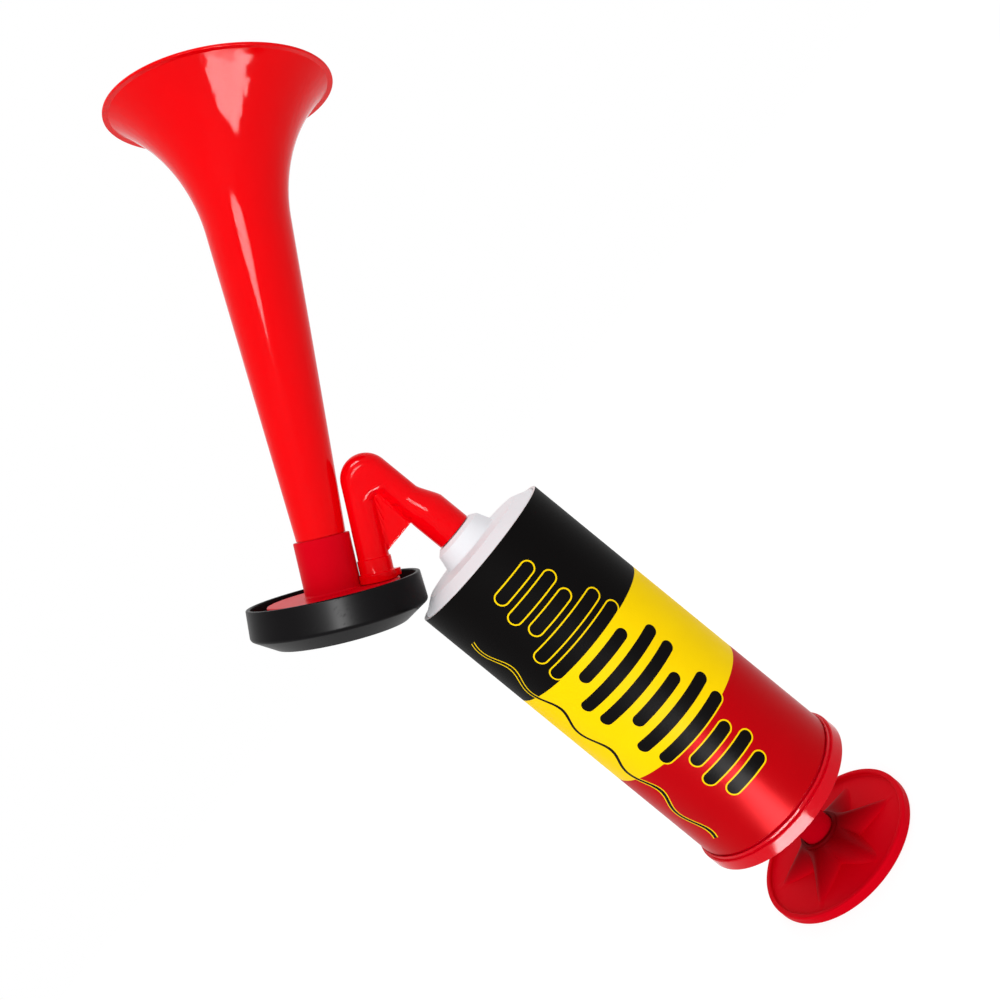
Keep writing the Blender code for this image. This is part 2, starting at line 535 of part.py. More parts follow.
def make_elbow(material, soft):
    """Hairpin pipe with the socket at one end, a foot and a spigot at the other, and its web."""
    socket = [circle(SOCKET_RADIUS, SOCKET_MOUTH_Z), circle(SOCKET_RADIUS, SWELL_Z),
              circle(NECK_RADIUS, SWELL_Z + SOCKET_TAPER, -NECK_OFFSET)]
    foot = [(LEG_RADIUS, FOOT_COLLAR_TOP), (FOOT_COLLAR_RADIUS, FOOT_COLLAR_TOP),
            (FOOT_COLLAR_RADIUS, FOOT_HEIGHT), (FOOT_RADIUS, FOOT_HEIGHT), (FOOT_RADIUS, FOOT_UNDER),
            (SPIGOT_RADIUS, FOOT_UNDER), (SPIGOT_RADIUS, SPIGOT_END)]
    elbow = lofted("elbow_pipe", socket + hairpin(NECK_RADIUS, LEG_RADIUS)
                   + [leg_ring(radius, height) for radius, height in foot], material)
    lug = block("elbow_lug", (0, -LUG_WIDTH / 2, FOOT_UNDER + CLEARANCE),
                (FOOT_RADIUS + LUG_REACH, LUG_WIDTH / 2, FOOT_HEIGHT - CLEARANCE), LEG_FRAME)
    web_z = SOCKET_MOUTH_Z + WEB_RISE
    leg_foot_x = LEG_CORNER.x - (LEG_CORNER.z - web_z) * math.tan(HORN_TILT)
    outline = [(-NECK_OFFSET, web_z), (leg_foot_x, web_z), (LEG_CORNER.x, LEG_CORNER.z),
               (NECK_CORNER.x, NECK_CORNER.z)]
    web = lofted("elbow_web", [[(x, y, z) for x, z in outline]
                               for y in (-WEB_THICKNESS / 2, WEB_THICKNESS / 2)])
    seal_seat = SEAL_TOP_Z + CLEARANCE
    nozzle_room = [
        circle(SEAL_SEAT_RADIUS, SOCKET_MOUTH_Z - OVERLAP), circle(SEAL_SEAT_RADIUS, seal_seat),
        circle(SOCKET_BORE, seal_seat), circle(SOCKET_BORE, SOCKET_ROOM_Z),
        circle(PASSAGE_RADIUS, SOCKET_ROOM_Z, -NECK_OFFSET)]
    bore = lofted("elbow_bore", nozzle_room + hairpin(PASSAGE_RADIUS, PASSAGE_RADIUS)
                  + [leg_ring(PASSAGE_RADIUS, SPIGOT_END - OVERLAP)])
    room_top = FOOT_COLLAR_TOP + OVERLAP
    collar_room = turned("collar_room", [
        (0, PLATE_FACE), (COLLAR_RADIUS + CLEARANCE, PLATE_FACE),
        (COLLAR_RADIUS + CLEARANCE, room_top), (0, room_top)], frame=HORN_FRAME)
    combine(elbow, "UNION", [web, lug])
    combine(elbow, "DIFFERENCE", [bore, collar_room])
    seal_outside = SEAL_SEAT_RADIUS - CLEARANCE
    seal = turned("elbow_seal", [
        (SOCKET_BORE, SOCKET_MOUTH_Z), (seal_outside, SOCKET_MOUTH_Z), (seal_outside, SEAL_TOP_Z),
        (SOCKET_BORE, SEAL_TOP_Z)], soft, steps=SMALL_STEPS)
    return [elbow, seal]


def make_sound_plate(material):
    """Plate with the trumpet's collar above, the throat below, and a hole for the elbow's foot."""
    plate = turned("sound_plate", [
        (THROAT_RADIUS, FLANGE_UNDER), (THROAT_RADIUS + THROAT_WALL, FLANGE_UNDER),
        (THROAT_RADIUS + THROAT_WALL, PLATE_UNDER), (PLATE_RADIUS - PLATE_SIDE_WALL, PLATE_UNDER),
        (PLATE_RADIUS - PLATE_SIDE_WALL, FLANGE_UNDER), (FLANGE_RADIUS, FLANGE_UNDER),
        (FLANGE_RADIUS, FLANGE_TOP), (PLATE_RADIUS, FLANGE_TOP), (PLATE_RADIUS, PLATE_FACE),
        (COLLAR_RADIUS, PLATE_FACE), (COLLAR_RADIUS, COLLAR_TOP), (SEAT_RADIUS, COLLAR_TOP),
        (SEAT_RADIUS, 0), (THROAT_RADIUS, 0)], material, HORN_FRAME)
    inlet = turned("inlet_hole", [
        (0, PLATE_UNDER - OVERLAP), (SPIGOT_RADIUS + CLEARANCE, PLATE_UNDER - OVERLAP),
        (SPIGOT_RADIUS + CLEARANCE, PLATE_FACE + OVERLAP), (0, PLATE_FACE + OVERLAP)],
        frame=LEG_FRAME, steps=SMALL_STEPS)
    combine(plate, "DIFFERENCE", [inlet])
    return plate


def make_chamber(cover_plastic, film, ring_plastic):
    """Diaphragm, its clamping ring, and the black cover that snaps over the plate's flange."""
    diaphragm = turned("diaphragm", [
        (0, DIAPHRAGM_UNDER), (DIAPHRAGM_RADIUS, DIAPHRAGM_UNDER),
        (DIAPHRAGM_RADIUS, DIAPHRAGM_TOP), (0, DIAPHRAGM_TOP)], film, HORN_FRAME)
    ring = turned("diaphragm_ring", [
        (RING_INSIDE_RADIUS, RING_UNDER), (DIAPHRAGM_RADIUS, RING_UNDER),
        (DIAPHRAGM_RADIUS, RING_TOP), (RING_INSIDE_RADIUS, RING_TOP)], ring_plastic, HORN_FRAME)
    bead = COVER_INSIDE_RADIUS - SNAP_BEAD
    bead_z = FLANGE_TOP + CLEARANCE
    inside = [
        (COVER_INSIDE_RADIUS, 0), (COVER_INSIDE_RADIUS, bead_z + 2 * SNAP_BEAD_HEIGHT),
        (bead, bead_z + SNAP_BEAD_HEIGHT), (bead, bead_z), (COVER_INSIDE_RADIUS, bead_z),
        (COVER_INSIDE_RADIUS, LEDGE), (RING_INSIDE_RADIUS, LEDGE),
        (RING_INSIDE_RADIUS, COVER_SIDE_END), (COVER_BASE_RADIUS - COVER_FLOOR, COVER_INSIDE),
        (0, COVER_INSIDE)]
    cover = turned("chamber_cover", [(0, COVER_BASE)] + COVER_SIDE + inside, cover_plastic,
                   HORN_FRAME)
    return [diaphragm, ring, cover]


def flare_radius(height):
    """Outer radius of the trumpet: a straight cone, then a flare that follows part of an ellipse."""
    cone = CONE_RADIUS + CONE_SLOPE * (height - COLLAR_TOP)
    along = max(0.0, (height - FLARE_START) / FLARE_LENGTH)
    growth = BELL_RADIUS - LIP_STEP - CONE_RADIUS - CONE_SLOPE * (BELL_TOP - COLLAR_TOP)
    rise = 1 - math.sqrt(1 - FLARE_ROUNDNESS * along ** 2)
    return cone + growth * rise / (1 - math.sqrt(1 - FLARE_ROUNDNESS))


def make_trumpet(material):
    """Thin-walled trumpet: tail in the collar, cone, flare and a lip round the mouth."""
    heights = [CONE_START] + [FLARE_START + FLARE_LENGTH * i / FLARE_STEPS
                              for i in range(FLARE_STEPS + 1)]
    outside = [(flare_radius(height), height) for height in heights]
    inside = []
    for height in heights:
        step = FLARE_LENGTH / FLARE_STEPS / 10
        slope = (flare_radius(height) - flare_radius(height - step)) / step
        length = math.hypot(1, slope)
        radius = flare_radius(height) - TRUMPET_WALL / length
        inside.append((radius, height + TRUMPET_WALL * slope / length))
    inside[-1] = (BELL_RADIUS - LIP_STEP - TRUMPET_WALL, BELL_TOP)
    lip = [(BELL_RADIUS - LIP_STEP, BELL_TOP - LIP_HEIGHT), (BELL_RADIUS, BELL_TOP - LIP_HEIGHT),
           (BELL_RADIUS, BELL_TOP)]
    outside[-1] = lip[0]
    tail = [(TAIL_RADIUS - TRUMPET_WALL, TRUMPET_TAIL), (TAIL_RADIUS, TRUMPET_TAIL),
            (TAIL_RADIUS, CONE_START)]
    return turned("trumpet", tail + outside + lip[1:] + inside[::-1], material, HORN_FRAME)


def build():
    clear_scene()
    red = plastic("glossy red plastic", (0.78, 0.01, 0.01), 0.25)
    crimson = plastic("satin crimson plastic", (0.70, 0.01, 0.03), 0.38)
    dark_red = plastic("satin dark red plastic", (0.55, 0.005, 0.01), 0.35)
    cap_red = plastic("glossy cap red plastic", (0.80, 0.005, 0.02), 0.2)
    rod_red = plastic("glossy rod red plastic", (0.72, 0.01, 0.03), 0.28)
    elbow_red = plastic("glossy elbow red plastic", (0.80, 0.01, 0.015), 0.25)
    black = plastic("satin black plastic", (0.012, 0.011, 0.012), 0.4)
    white = plastic("satin white plastic", (0.80, 0.78, 0.84), 0.45)
    printed = plastic("printed film", (0.85, 0.62, 0.0), 0.35)
    grey = plastic("grey plate plastic", (0.35, 0.35, 0.36), 0.5)
    rubber = plastic("black rubber", (0.02, 0.02, 0.02), 0.8)
    film = plastic("clear film", (0.85, 0.88, 0.9), 0.2)
    steel = plastic("zinc steel", (0.75, 0.75, 0.77), 0.3, 1.0)
    make_rear_cap(cap_red)
    make_barrel(white)
    make_sleeve(printed)
    make_buffer(rubber)
    plunger = [make_handle(dark_red), make_rod(rod_red)] + make_piston(grey, rubber, steel)
    hang(plunger, joint_axis("plunger_axis", HUB_HEIGHT))
    horn = make_elbow(elbow_red, rubber) + make_chamber(black, film, grey)
    horn += [make_sound_plate(crimson), make_trumpet(red)]
    hang(horn, joint_axis("horn_swivel_axis", SOCKET_MOUTH_Z))


build()
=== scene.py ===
"""A hand-pump stadium horn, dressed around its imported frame.

The sections follow the horn as it is put together: the pump from the barrel outwards, the plunger
in it, and the horn that swivels on the pump's nozzle. Sizes are written in millimetres and become
metres where a mesh is made. The pump's heights run along Z from the handle's flat face, and the
horn's heights run up the trumpet from the rim of the black cover.
"""
import json
import math

import bmesh
import bpy
import numpy as np
from mathutils import Matrix, Vector


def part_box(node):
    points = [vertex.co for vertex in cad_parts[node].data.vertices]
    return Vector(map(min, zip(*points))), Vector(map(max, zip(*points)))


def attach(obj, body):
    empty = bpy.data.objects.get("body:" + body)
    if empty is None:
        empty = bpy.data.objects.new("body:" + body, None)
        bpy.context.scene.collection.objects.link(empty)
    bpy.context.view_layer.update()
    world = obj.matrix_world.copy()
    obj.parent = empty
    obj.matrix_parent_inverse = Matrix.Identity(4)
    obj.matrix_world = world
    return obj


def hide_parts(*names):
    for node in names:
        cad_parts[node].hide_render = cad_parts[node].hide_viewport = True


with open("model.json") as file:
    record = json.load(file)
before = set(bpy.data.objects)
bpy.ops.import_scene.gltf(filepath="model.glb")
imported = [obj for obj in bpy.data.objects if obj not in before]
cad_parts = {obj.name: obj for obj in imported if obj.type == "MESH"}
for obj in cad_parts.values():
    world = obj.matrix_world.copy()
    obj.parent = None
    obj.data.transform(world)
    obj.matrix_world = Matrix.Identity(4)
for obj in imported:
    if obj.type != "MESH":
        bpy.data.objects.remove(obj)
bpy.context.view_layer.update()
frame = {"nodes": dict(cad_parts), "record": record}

# Camera and studio. The horn stands on a pale floor in soft light from two boxes. The camera hangs
# level in front of it, rolled so that the pump runs from the picture's upper left to its lower right.
PICTURE_WIDTH = 1000                # pixels
SENSOR_WIDTH = 36                   # millimetres
FOCAL_LENGTH = 936.85               # pixels
LENS_CENTRE = (403.88, 498.42)      # pixels from the picture's upper left corner
CAMERA_PLACE = (0.00500, -0.32571, 0.19469)
CAMERA_YAW, CAMERA_PITCH, CAMERA_ROLL = 1.2337, -0.1725, -50.72     # degrees
FLOOR_WIDTH = 6.0
FLOOR_TONE, VEIL_TONE = 0.8, 0.25   # grey of the floor in the light it throws back, and to the eye
FLOOR_GLOW = 0.83                   # how white the floor is to the eye where a shadow lies on it
AMBIENT = 0.72                      # light of the white walls on the horn

camera = bpy.data.objects.new("camera", bpy.data.cameras.new("camera"))
camera.data.sensor_width = SENSOR_WIDTH
camera.data.lens = FOCAL_LENGTH * SENSOR_WIDTH / PICTURE_WIDTH
camera.data.shift_x = 0.5 - LENS_CENTRE[0] / PICTURE_WIDTH
camera.data.shift_y = LENS_CENTRE[1] / PICTURE_WIDTH - 0.5
camera.data.clip_start = 0.01
camera.matrix_world = (Matrix.Translation(CAMERA_PLACE)
                       @ Matrix.Rotation(math.radians(CAMERA_YAW), 4, "Z")
                       @ Matrix.Rotation(math.radians(90 + CAMERA_PITCH), 4, "X")
                       @ Matrix.Rotation(math.radians(CAMERA_ROLL), 4, "Z"))
bpy.context.scene.collection.objects.link(camera)
bpy.context.scene.camera = camera
bpy.context.scene.view_settings.view_transform = "Standard"


def softbox(name, centre, target, size, brightness, mirrored_in=()):
    """A lit rectangle that faces target; brightness is its radiance, where white is 1.

    It either lights the whole without showing in the gloss, or shows only in the gloss of some pieces.
    """
    light = bpy.data.lights.new(name, "AREA")
    light.shape = "RECTANGLE"
    light.size, light.size_y = size
    light.energy = brightness * math.pi * size[0] * size[1]
    lamp = bpy.data.objects.new(name, light)
    turn = (Vector(target) - Vector(centre)).to_track_quat("-Z", "Y").to_matrix().to_4x4()
    lamp.matrix_world = Matrix.Translation(centre) @ turn
    lamp.visible_camera = False
    lamp.visible_diffuse, lamp.visible_glossy = not mirrored_in, bool(mirrored_in)
    bpy.context.scene.collection.objects.link(lamp)
    if mirrored_in:
        lamp.light_linking.receiver_collection = bpy.data.collections.new(name)
        for piece in mirrored_in:
            lamp.light_linking.receiver_collection.objects.link(piece)


softbox("front_box", (-0.30, -0.75, 0.35), (0, 0, 0.18), (0.6, 0.6), 3.0)
softbox("back_box", (0.35, 0.75, 0.55), (0, 0, 0.15), (0.5, 0.5), 2.6)


def add(tree, kind, values=None, **settings):
    """A shader node. values gives its inputs by name or number, as constants or as sockets to join."""
    made = tree.nodes.new("ShaderNode" + kind)
    for name, setting in settings.items():
        setattr(made, name, setting)
    for socket, value in (values or {}).items():
        if isinstance(value, bpy.types.NodeSocket):
            tree.links.new(value, made.inputs[socket])
        else:
            made.inputs[socket].default_value = value
    return made


def calc(tree, operation, *values):
    """The result of a Math node on up to three values or sockets."""
    return add(tree, "Math", dict(enumerate(values)), operation=operation).outputs[0]


def seen_directly(tree):
    """1 for rays that show the background: from the camera, by reflection or through something clear."""
    path = add(tree, "LightPath").outputs
    mirrored = calc(tree, "MAXIMUM", path["Is Glossy Ray"], path["Is Transmission Ray"])
    return calc(tree, "MAXIMUM", path["Is Camera Ray"], mirrored)


world = bpy.data.worlds.new("white_walls")
bpy.context.scene.world = world
world.use_nodes = True
strength = calc(world.node_tree, "MAXIMUM", seen_directly(world.node_tree), AMBIENT)
background = world.node_tree.nodes["Background"]
background.inputs["Color"].default_value = (1, 1, 1, 1)
world.node_tree.links.new(strength, background.inputs["Strength"])

pale = bpy.data.materials.new("pale_floor")
pale.use_nodes = True
floor_tree = pale.node_tree
floor_tree.nodes.clear()
matt = add(floor_tree, "BsdfDiffuse", {"Color": (FLOOR_TONE, FLOOR_TONE, FLOOR_TONE, 1)})
veil = add(floor_tree, "BsdfDiffuse", {"Color": (VEIL_TONE, VEIL_TONE, VEIL_TONE, 1)})
glow = add(floor_tree, "Emission", {"Color": (1, 1, 1, 1), "Strength": FLOOR_GLOW})
shown = add(floor_tree, "AddShader", {0: veil.outputs[0], 1: glow.outputs[0]})
mixed = add(floor_tree, "MixShader", {0: seen_directly(floor_tree), 1: matt.outputs[0],
                                      2: shown.outputs[0]})
add(floor_tree, "OutputMaterial", {"Surface": mixed.outputs[0]})
floor_mesh = bpy.data.meshes.new("floor")
half = FLOOR_WIDTH / 2
floor_mesh.from_pydata([(-half, -half, 0), (half, -half, 0), (half, half, 0), (-half, half, 0)], [],
                       [(0, 1, 2, 3)])
floor_mesh.materials.append(pale)
floor = bpy.data.objects.new("floor", floor_mesh)
bpy.context.scene.collection.objects.link(floor)

# Pump barrel: one white polystyrene moulding, an open tube with a bevelled shoulder, a soft flat
# face and a conical nose, whose hollow nozzle goes up into the elbow. Only its front end shows.
MM = 0.001
ROUND_STEPS = 256                   # columns round a turned piece
FILLET_STEPS = 6                    # points round each softened corner
SHARP_ANGLE = 28                    # degrees between two faces that makes their edge a sharp one
HOLD = 0.06                         # from a fillet's end to a point that keeps the next face flat
BARREL_RADIUS, BORE_RADIUS = 28.6, 26.8
BARREL_REAR, SHOULDER_FOOT = 32.1, 161.6
SHOULDER = (22.7, 164.8)            # radius and height of the shoulder's upper edge
NOSE_FOOT, NOSE_TOP, NOSE_LIP = (12.0, 165.5), (10.1, 171.1), (8.2, 172.5)
NOZZLE_RADIUS, NOZZLE_BORE, NOZZLE_END = 4.7, 3.0, 185.5
NOSE_INSIDE, BORE_END, SHOULDER_WALL = 162.6, 159.4, 1.8


def section(corners):
    """Points along a broken line whose corners, given as (radius, height, fillet), are softened.

    Each fillet is an arc that touches both of its corner's sides, with a point on each side just past
    it, so that smooth shading ends there.
    """
    points = []
    for i, (radius, height, fillet) in enumerate(corners):
        here = np.array([radius, height], float)
        if not fillet:
            points.append(here)
            continue
        back = np.array(corners[i - 1][:2]) - here
        ahead = np.array(corners[(i + 1) % len(corners)][:2]) - here
        back, ahead = back / np.linalg.norm(back), ahead / np.linalg.norm(ahead)
        half_angle = math.acos(np.clip(back @ ahead, -1, 1)) / 2
        middle = here + (back + ahead) / np.linalg.norm(back + ahead) * fillet / math.sin(half_angle)
        start = here + back * fillet / math.tan(half_angle) - middle
        end = here + ahead * fillet / math.tan(half_angle) - middle
        sweep = math.pi - 2 * half_angle
        share = np.linspace(0, 1, FILLET_STEPS + 1)[:, None]
        arc = (np.sin((1 - share) * sweep) * start + np.sin(share * sweep) * end) / math.sin(sweep)
        points.extend([middle + start + back * HOLD, *(middle + arc), middle + end + ahead * HOLD])
    return np.array(points)


def skin(name, grid, row_slots=None, loop=True):
    """A closed mesh over a grid of points in millimetres: columns run round, rows along the section.

    The last row joins the first where the section is a loop. row_slots gives each row's material slot.
    """
    rows, columns = grid.shape[:2]
    index = np.arange(rows * columns).reshape(rows, columns)
    beside = np.roll(index, -1, axis=1)
    quads = np.stack([index, beside, np.roll(beside, -1, axis=0), np.roll(index, -1, axis=0)], axis=-1)
    quads = quads if loop else quads[:-1]
    mesh = bpy.data.meshes.new(name)
    mesh.from_pydata((grid * MM).reshape(-1, 3), [], quads.reshape(-1, 4).tolist())
    if row_slots is not None:
        slots = np.repeat(np.asarray(row_slots)[:len(quads)], columns)
        mesh.polygons.foreach_set("material_index", slots.astype(np.int32))
    builder = bmesh.new()
    builder.from_mesh(mesh)
    bmesh.ops.remove_doubles(builder, verts=builder.verts, dist=1e-7)
    bmesh.ops.recalc_face_normals(builder, faces=builder.faces)
    builder.to_mesh(mesh)
    builder.free()
    mesh.shade_smooth()
    mesh.set_sharp_from_angle(angle=math.radians(SHARP_ANGLE))
    piece = bpy.data.objects.new(name, mesh)
    bpy.context.scene.collection.objects.link(piece)
    return piece


def revolve(profile, columns=ROUND_STEPS):
    """Grid of a section turned round Z: (r cos a, r sin a, h) for each point (r, h) and angle a."""
    angle = np.linspace(0, 2 * math.pi, columns, endpoint=False)
    radius, height = profile[:, :1], profile[:, 1:]
    return np.stack([radius * np.cos(angle), radius * np.sin(angle), height + 0 * angle], axis=-1)


def new_group(name, inputs, outputs):
    """A shader node group with its named inputs, as (name, value), and its named outputs."""
    group = bpy.data.node_groups.new(name, "ShaderNodeTree")
    for label, value in inputs:
        socket = group.interface.new_socket(label, in_out="INPUT", socket_type="NodeSocketFloat")
        socket.default_value = value
    for label in outputs:
        group.interface.new_socket(label, in_out="OUTPUT", socket_type="NodeSocketFloat")
    return group, group.nodes.new("NodeGroupInput").outputs, group.nodes.new("NodeGroupOutput").inputs


RIPPLE_FINENESS, GRAIN_FINENESS, WEAR_FINENESS = 130.0, 2600.0, 90.0    # noise scales, per metre
FLOW_DRAWN = 0.06                   # noise scale of the flow ripples along their line, against across it
SCUFF_TURNS = ((0.4, 0.2, 0.7), (-0.5, 0.9, 0.1))                       # radians
SCUFF_FINENESS = (60, 2600, 2600)   # noise scales along a scuff and across it, per metre
SCUFF_FROM, SCUFF_CONTRAST = 0.66, 14
WEAR_FROM, WEAR_CONTRAST = 0.42, 5
SCUFF_BLUNTS = 0.35                 # roughness that a full scuff adds
SKIN_RELIEF = 0.02 * MM


def moulding_marks():
    """Cloudy tone where the melt ran, and the skin's height: long soft ripples and a fine grain."""
    group, given, result = new_group("moulding marks", [
        ("Cloud Size", 0.012), ("Cloud Depth", 0.08), ("Ripple", 0.3), ("Grain", 0.2)],
        ["Tone", "Height"])
    place = add(group, "TexCoord").outputs["Object"]
    cloud_scale = calc(group, "DIVIDE", 1, given["Cloud Size"])
    cloud = add(group, "TexNoise", {"Vector": place, "Scale": cloud_scale, "Detail": 3.0})
    swing = calc(group, "SUBTRACT", cloud.outputs["Fac"], 0.5)
    tone = calc(group, "MULTIPLY_ADD", swing, given["Cloud Depth"], 1.0)
    ripple = add(group, "TexNoise", {"Vector": place, "Scale": RIPPLE_FINENESS, "Detail": 1.0})
    grain = add(group, "TexNoise", {"Vector": place, "Scale": GRAIN_FINENESS, "Detail": 2.0})
    fine = calc(group, "MULTIPLY", grain.outputs["Fac"], given["Grain"])
    height = calc(group, "MULTIPLY_ADD", ripple.outputs["Fac"], given["Ripple"], fine)
    group.links.new(tone, result["Tone"])
    group.links.new(height, result["Height"])
    return group


def flow_marks():
    """Height of the ripples that the melt leaves, drawn out along local Z once turned about Y."""
    group, given, result = new_group("flow marks", [("Turn", 0.0), ("Width", 0.003)], ["Height"])
    turn = add(group, "CombineXYZ", {"Y": given["Turn"]}).outputs[0]
    turned = add(group, "VectorRotate", {"Vector": add(group, "TexCoord").outputs["Object"],
                                         "Rotation": turn}, rotation_type="EULER_XYZ").outputs[0]
    drawn = add(group, "VectorMath", {0: turned, 1: (1, 1, FLOW_DRAWN)}, operation="MULTIPLY").outputs[0]
    fine = calc(group, "DIVIDE", 1, given["Width"])
    waves = add(group, "TexNoise", {"Vector": drawn, "Scale": fine, "Detail": 1.0})
    group.links.new(waves.outputs["Fac"], result["Height"])
    return group


def rub_marks():
    """Hairline scuffs in two crossing directions, broken up by patches of wear: 1 on a scuff."""
    group, given, result = new_group("rub marks", [("Amount", 0.5)], ["Mask"])
    place = add(group, "TexCoord").outputs["Object"]
    patches = add(group, "TexNoise", {"Vector": place, "Scale": WEAR_FINENESS, "Detail": 2.0})
    strongest = None
    for turn in SCUFF_TURNS:
        laid = add(group, "Mapping", {"Vector": place, "Rotation": turn, "Scale": SCUFF_FINENESS})
        hairs = add(group, "TexNoise", {"Vector": laid.outputs[0], "Scale": 1.0, "Detail": 1.0})
        line = calc(group, "SUBTRACT", hairs.outputs["Fac"], SCUFF_FROM)
        line = calc(group, "MULTIPLY", line, SCUFF_CONTRAST)
        strongest = line if strongest is None else calc(group, "MAXIMUM", strongest, line)
    worn = calc(group, "SUBTRACT", patches.outputs["Fac"], WEAR_FROM)
    worn = calc(group, "MULTIPLY", worn, WEAR_CONTRAST)
    mask = calc(group, "MULTIPLY", add(group, "Clamp", {0: strongest}).outputs[0],
                add(group, "Clamp", {0: worn}).outputs[0])
    group.links.new(calc(group, "MULTIPLY", mask, given["Amount"]), result["Mask"])
    return group


MARKS, FLOW, RUBS = moulding_marks(), flow_marks(), rub_marks()


def moulded(name, colour, roughness, gloss=0.06, cloud=0.08, ripple=0.3, grain=0.2, rubs=0.3, flow=0.0,
            turn=0.0):
    """Moulded plastic: cloudy colour, scuffs that blunt the shine, and a skin that isn't quite flat.

    gloss is the shader's specular level. flow is the height of the flow ripples against the rest, and
    turn the angle about Y that brings the line that they follow upright.
    """
    material = bpy.data.materials.new(name)
    material.use_nodes = True
    tree = material.node_tree
    shader = tree.nodes["Principled BSDF"]
    marks = add(tree, "Group", {}, node_tree=MARKS)
    for socket, value in (("Cloud Depth", cloud), ("Ripple", ripple), ("Grain", grain)):
        marks.inputs[socket].default_value = value
    scuffs = add(tree, "Group", {}, node_tree=RUBS)
    scuffs.inputs["Amount"].default_value = rubs
    tinted = add(tree, "VectorMath", {0: colour, 1: marks.outputs["Tone"]}, operation="MULTIPLY")
    tree.links.new(tinted.outputs[0], shader.inputs["Base Color"])
    blunt = calc(tree, "MULTIPLY_ADD", scuffs.outputs["Mask"], SCUFF_BLUNTS, roughness)
    tree.links.new(blunt, shader.inputs["Roughness"])
    height = marks.outputs["Height"]
    if flow:
        ripples = add(tree, "Group", {}, node_tree=FLOW)
        ripples.inputs["Turn"].default_value = turn
        height = calc(tree, "MULTIPLY_ADD", ripples.outputs["Height"], flow, height)
    relief = add(tree, "Bump", {"Height": height, "Strength": 1.0, "Distance": SKIN_RELIEF})
    tree.links.new(relief.outputs[0], shader.inputs["Normal"])
    shader.inputs["Specular IOR Level"].default_value = gloss
    return material


def dress(piece, materials, body, node):
    """Gives a finished piece its materials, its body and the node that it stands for."""
    for material in materials:
        piece.data.materials.append(material)
    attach(piece, body)
    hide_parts(node)


barrel_section = section([
    (BARREL_RADIUS, BARREL_REAR, 0.2), (BARREL_RADIUS, SHOULDER_FOOT, 0.8), (*SHOULDER, 0.7),
    (*NOSE_FOOT, 0.7), (*NOSE_TOP, 0.25), (*NOSE_LIP, 0.25), (NOZZLE_RADIUS, NOSE_LIP[1], 0),
    (NOZZLE_RADIUS, NOZZLE_END, 0.3), (NOZZLE_BORE, NOZZLE_END, 0.3), (NOZZLE_BORE, NOSE_INSIDE, 0),
    (SHOULDER[0] - SHOULDER_WALL, NOSE_INSIDE, 0), (BORE_RADIUS, BORE_END, 0),
    (BORE_RADIUS, BARREL_REAR, 0)])
barrel = skin("pump_barrel", revolve(barrel_section))
white_plastic = moulded("white_polystyrene", (0.84, 0.86, 0.89), 0.38, cloud=0.05, ripple=0.5)
dress(barrel, [white_plastic], "pump", "barrel")

# Printed sleeve: a thin tube of satin film over white card, drawn over the barrel. The film is
# printed in black, yellow and metallic red zones, with a row of level bars and a thin wave.
SLEEVE_RADIUS, SLEEVE_WALL = 30.0, 1.1
SLEEVE_REAR, SLEEVE_FRONT = 36.1, 161.6
YELLOW_FROM, BLACK_FROM = 75.4, 118.1       # heights where yellow and black begin
BAR_PITCH, BAR_WIDTH = 7.3, 4.3
BAR_LENGTHS = (3.5, 14.0)                   # half the length of the shortest bar, and the most added
FIRST_BAR, LAST_BAR = 7, 20
BAR_LINE = 0.5                              # width of the yellow outline
BEAT, BEAT_DEPTH = 2.1, 0.65                # radians from bar to bar, and the share that the beat takes off
WAVE_PLACE, WAVE_SWING, WAVE_LENGTH = -27.5, 2.2, 21.0
WAVE_WIDTH, WAVE_LINE = 0.7, 0.45
WAVE_ENDS = (44.0, 146.0)
POLISHED, DULL = 0.28, 0.50                 # roughness at the rear, where hands polish it, and further up
POLISH_END, POLISH_FADE = 52.0, 45.0        # height where the polish starts to fade, and over what length
RED_METAL = 0.05                            # how metallic the red ink is
FILM_RELIEF, FILM_SCUFF_BLUNTS = 0.03 * MM, 0.12
PRINT_BLACK, PRINT_YELLOW = (0.003, 0.0025, 0.0025, 1), (1.0, 0.68, 0, 1)
PRINT_RED = (0.50, 0.0, 0.003, 1)


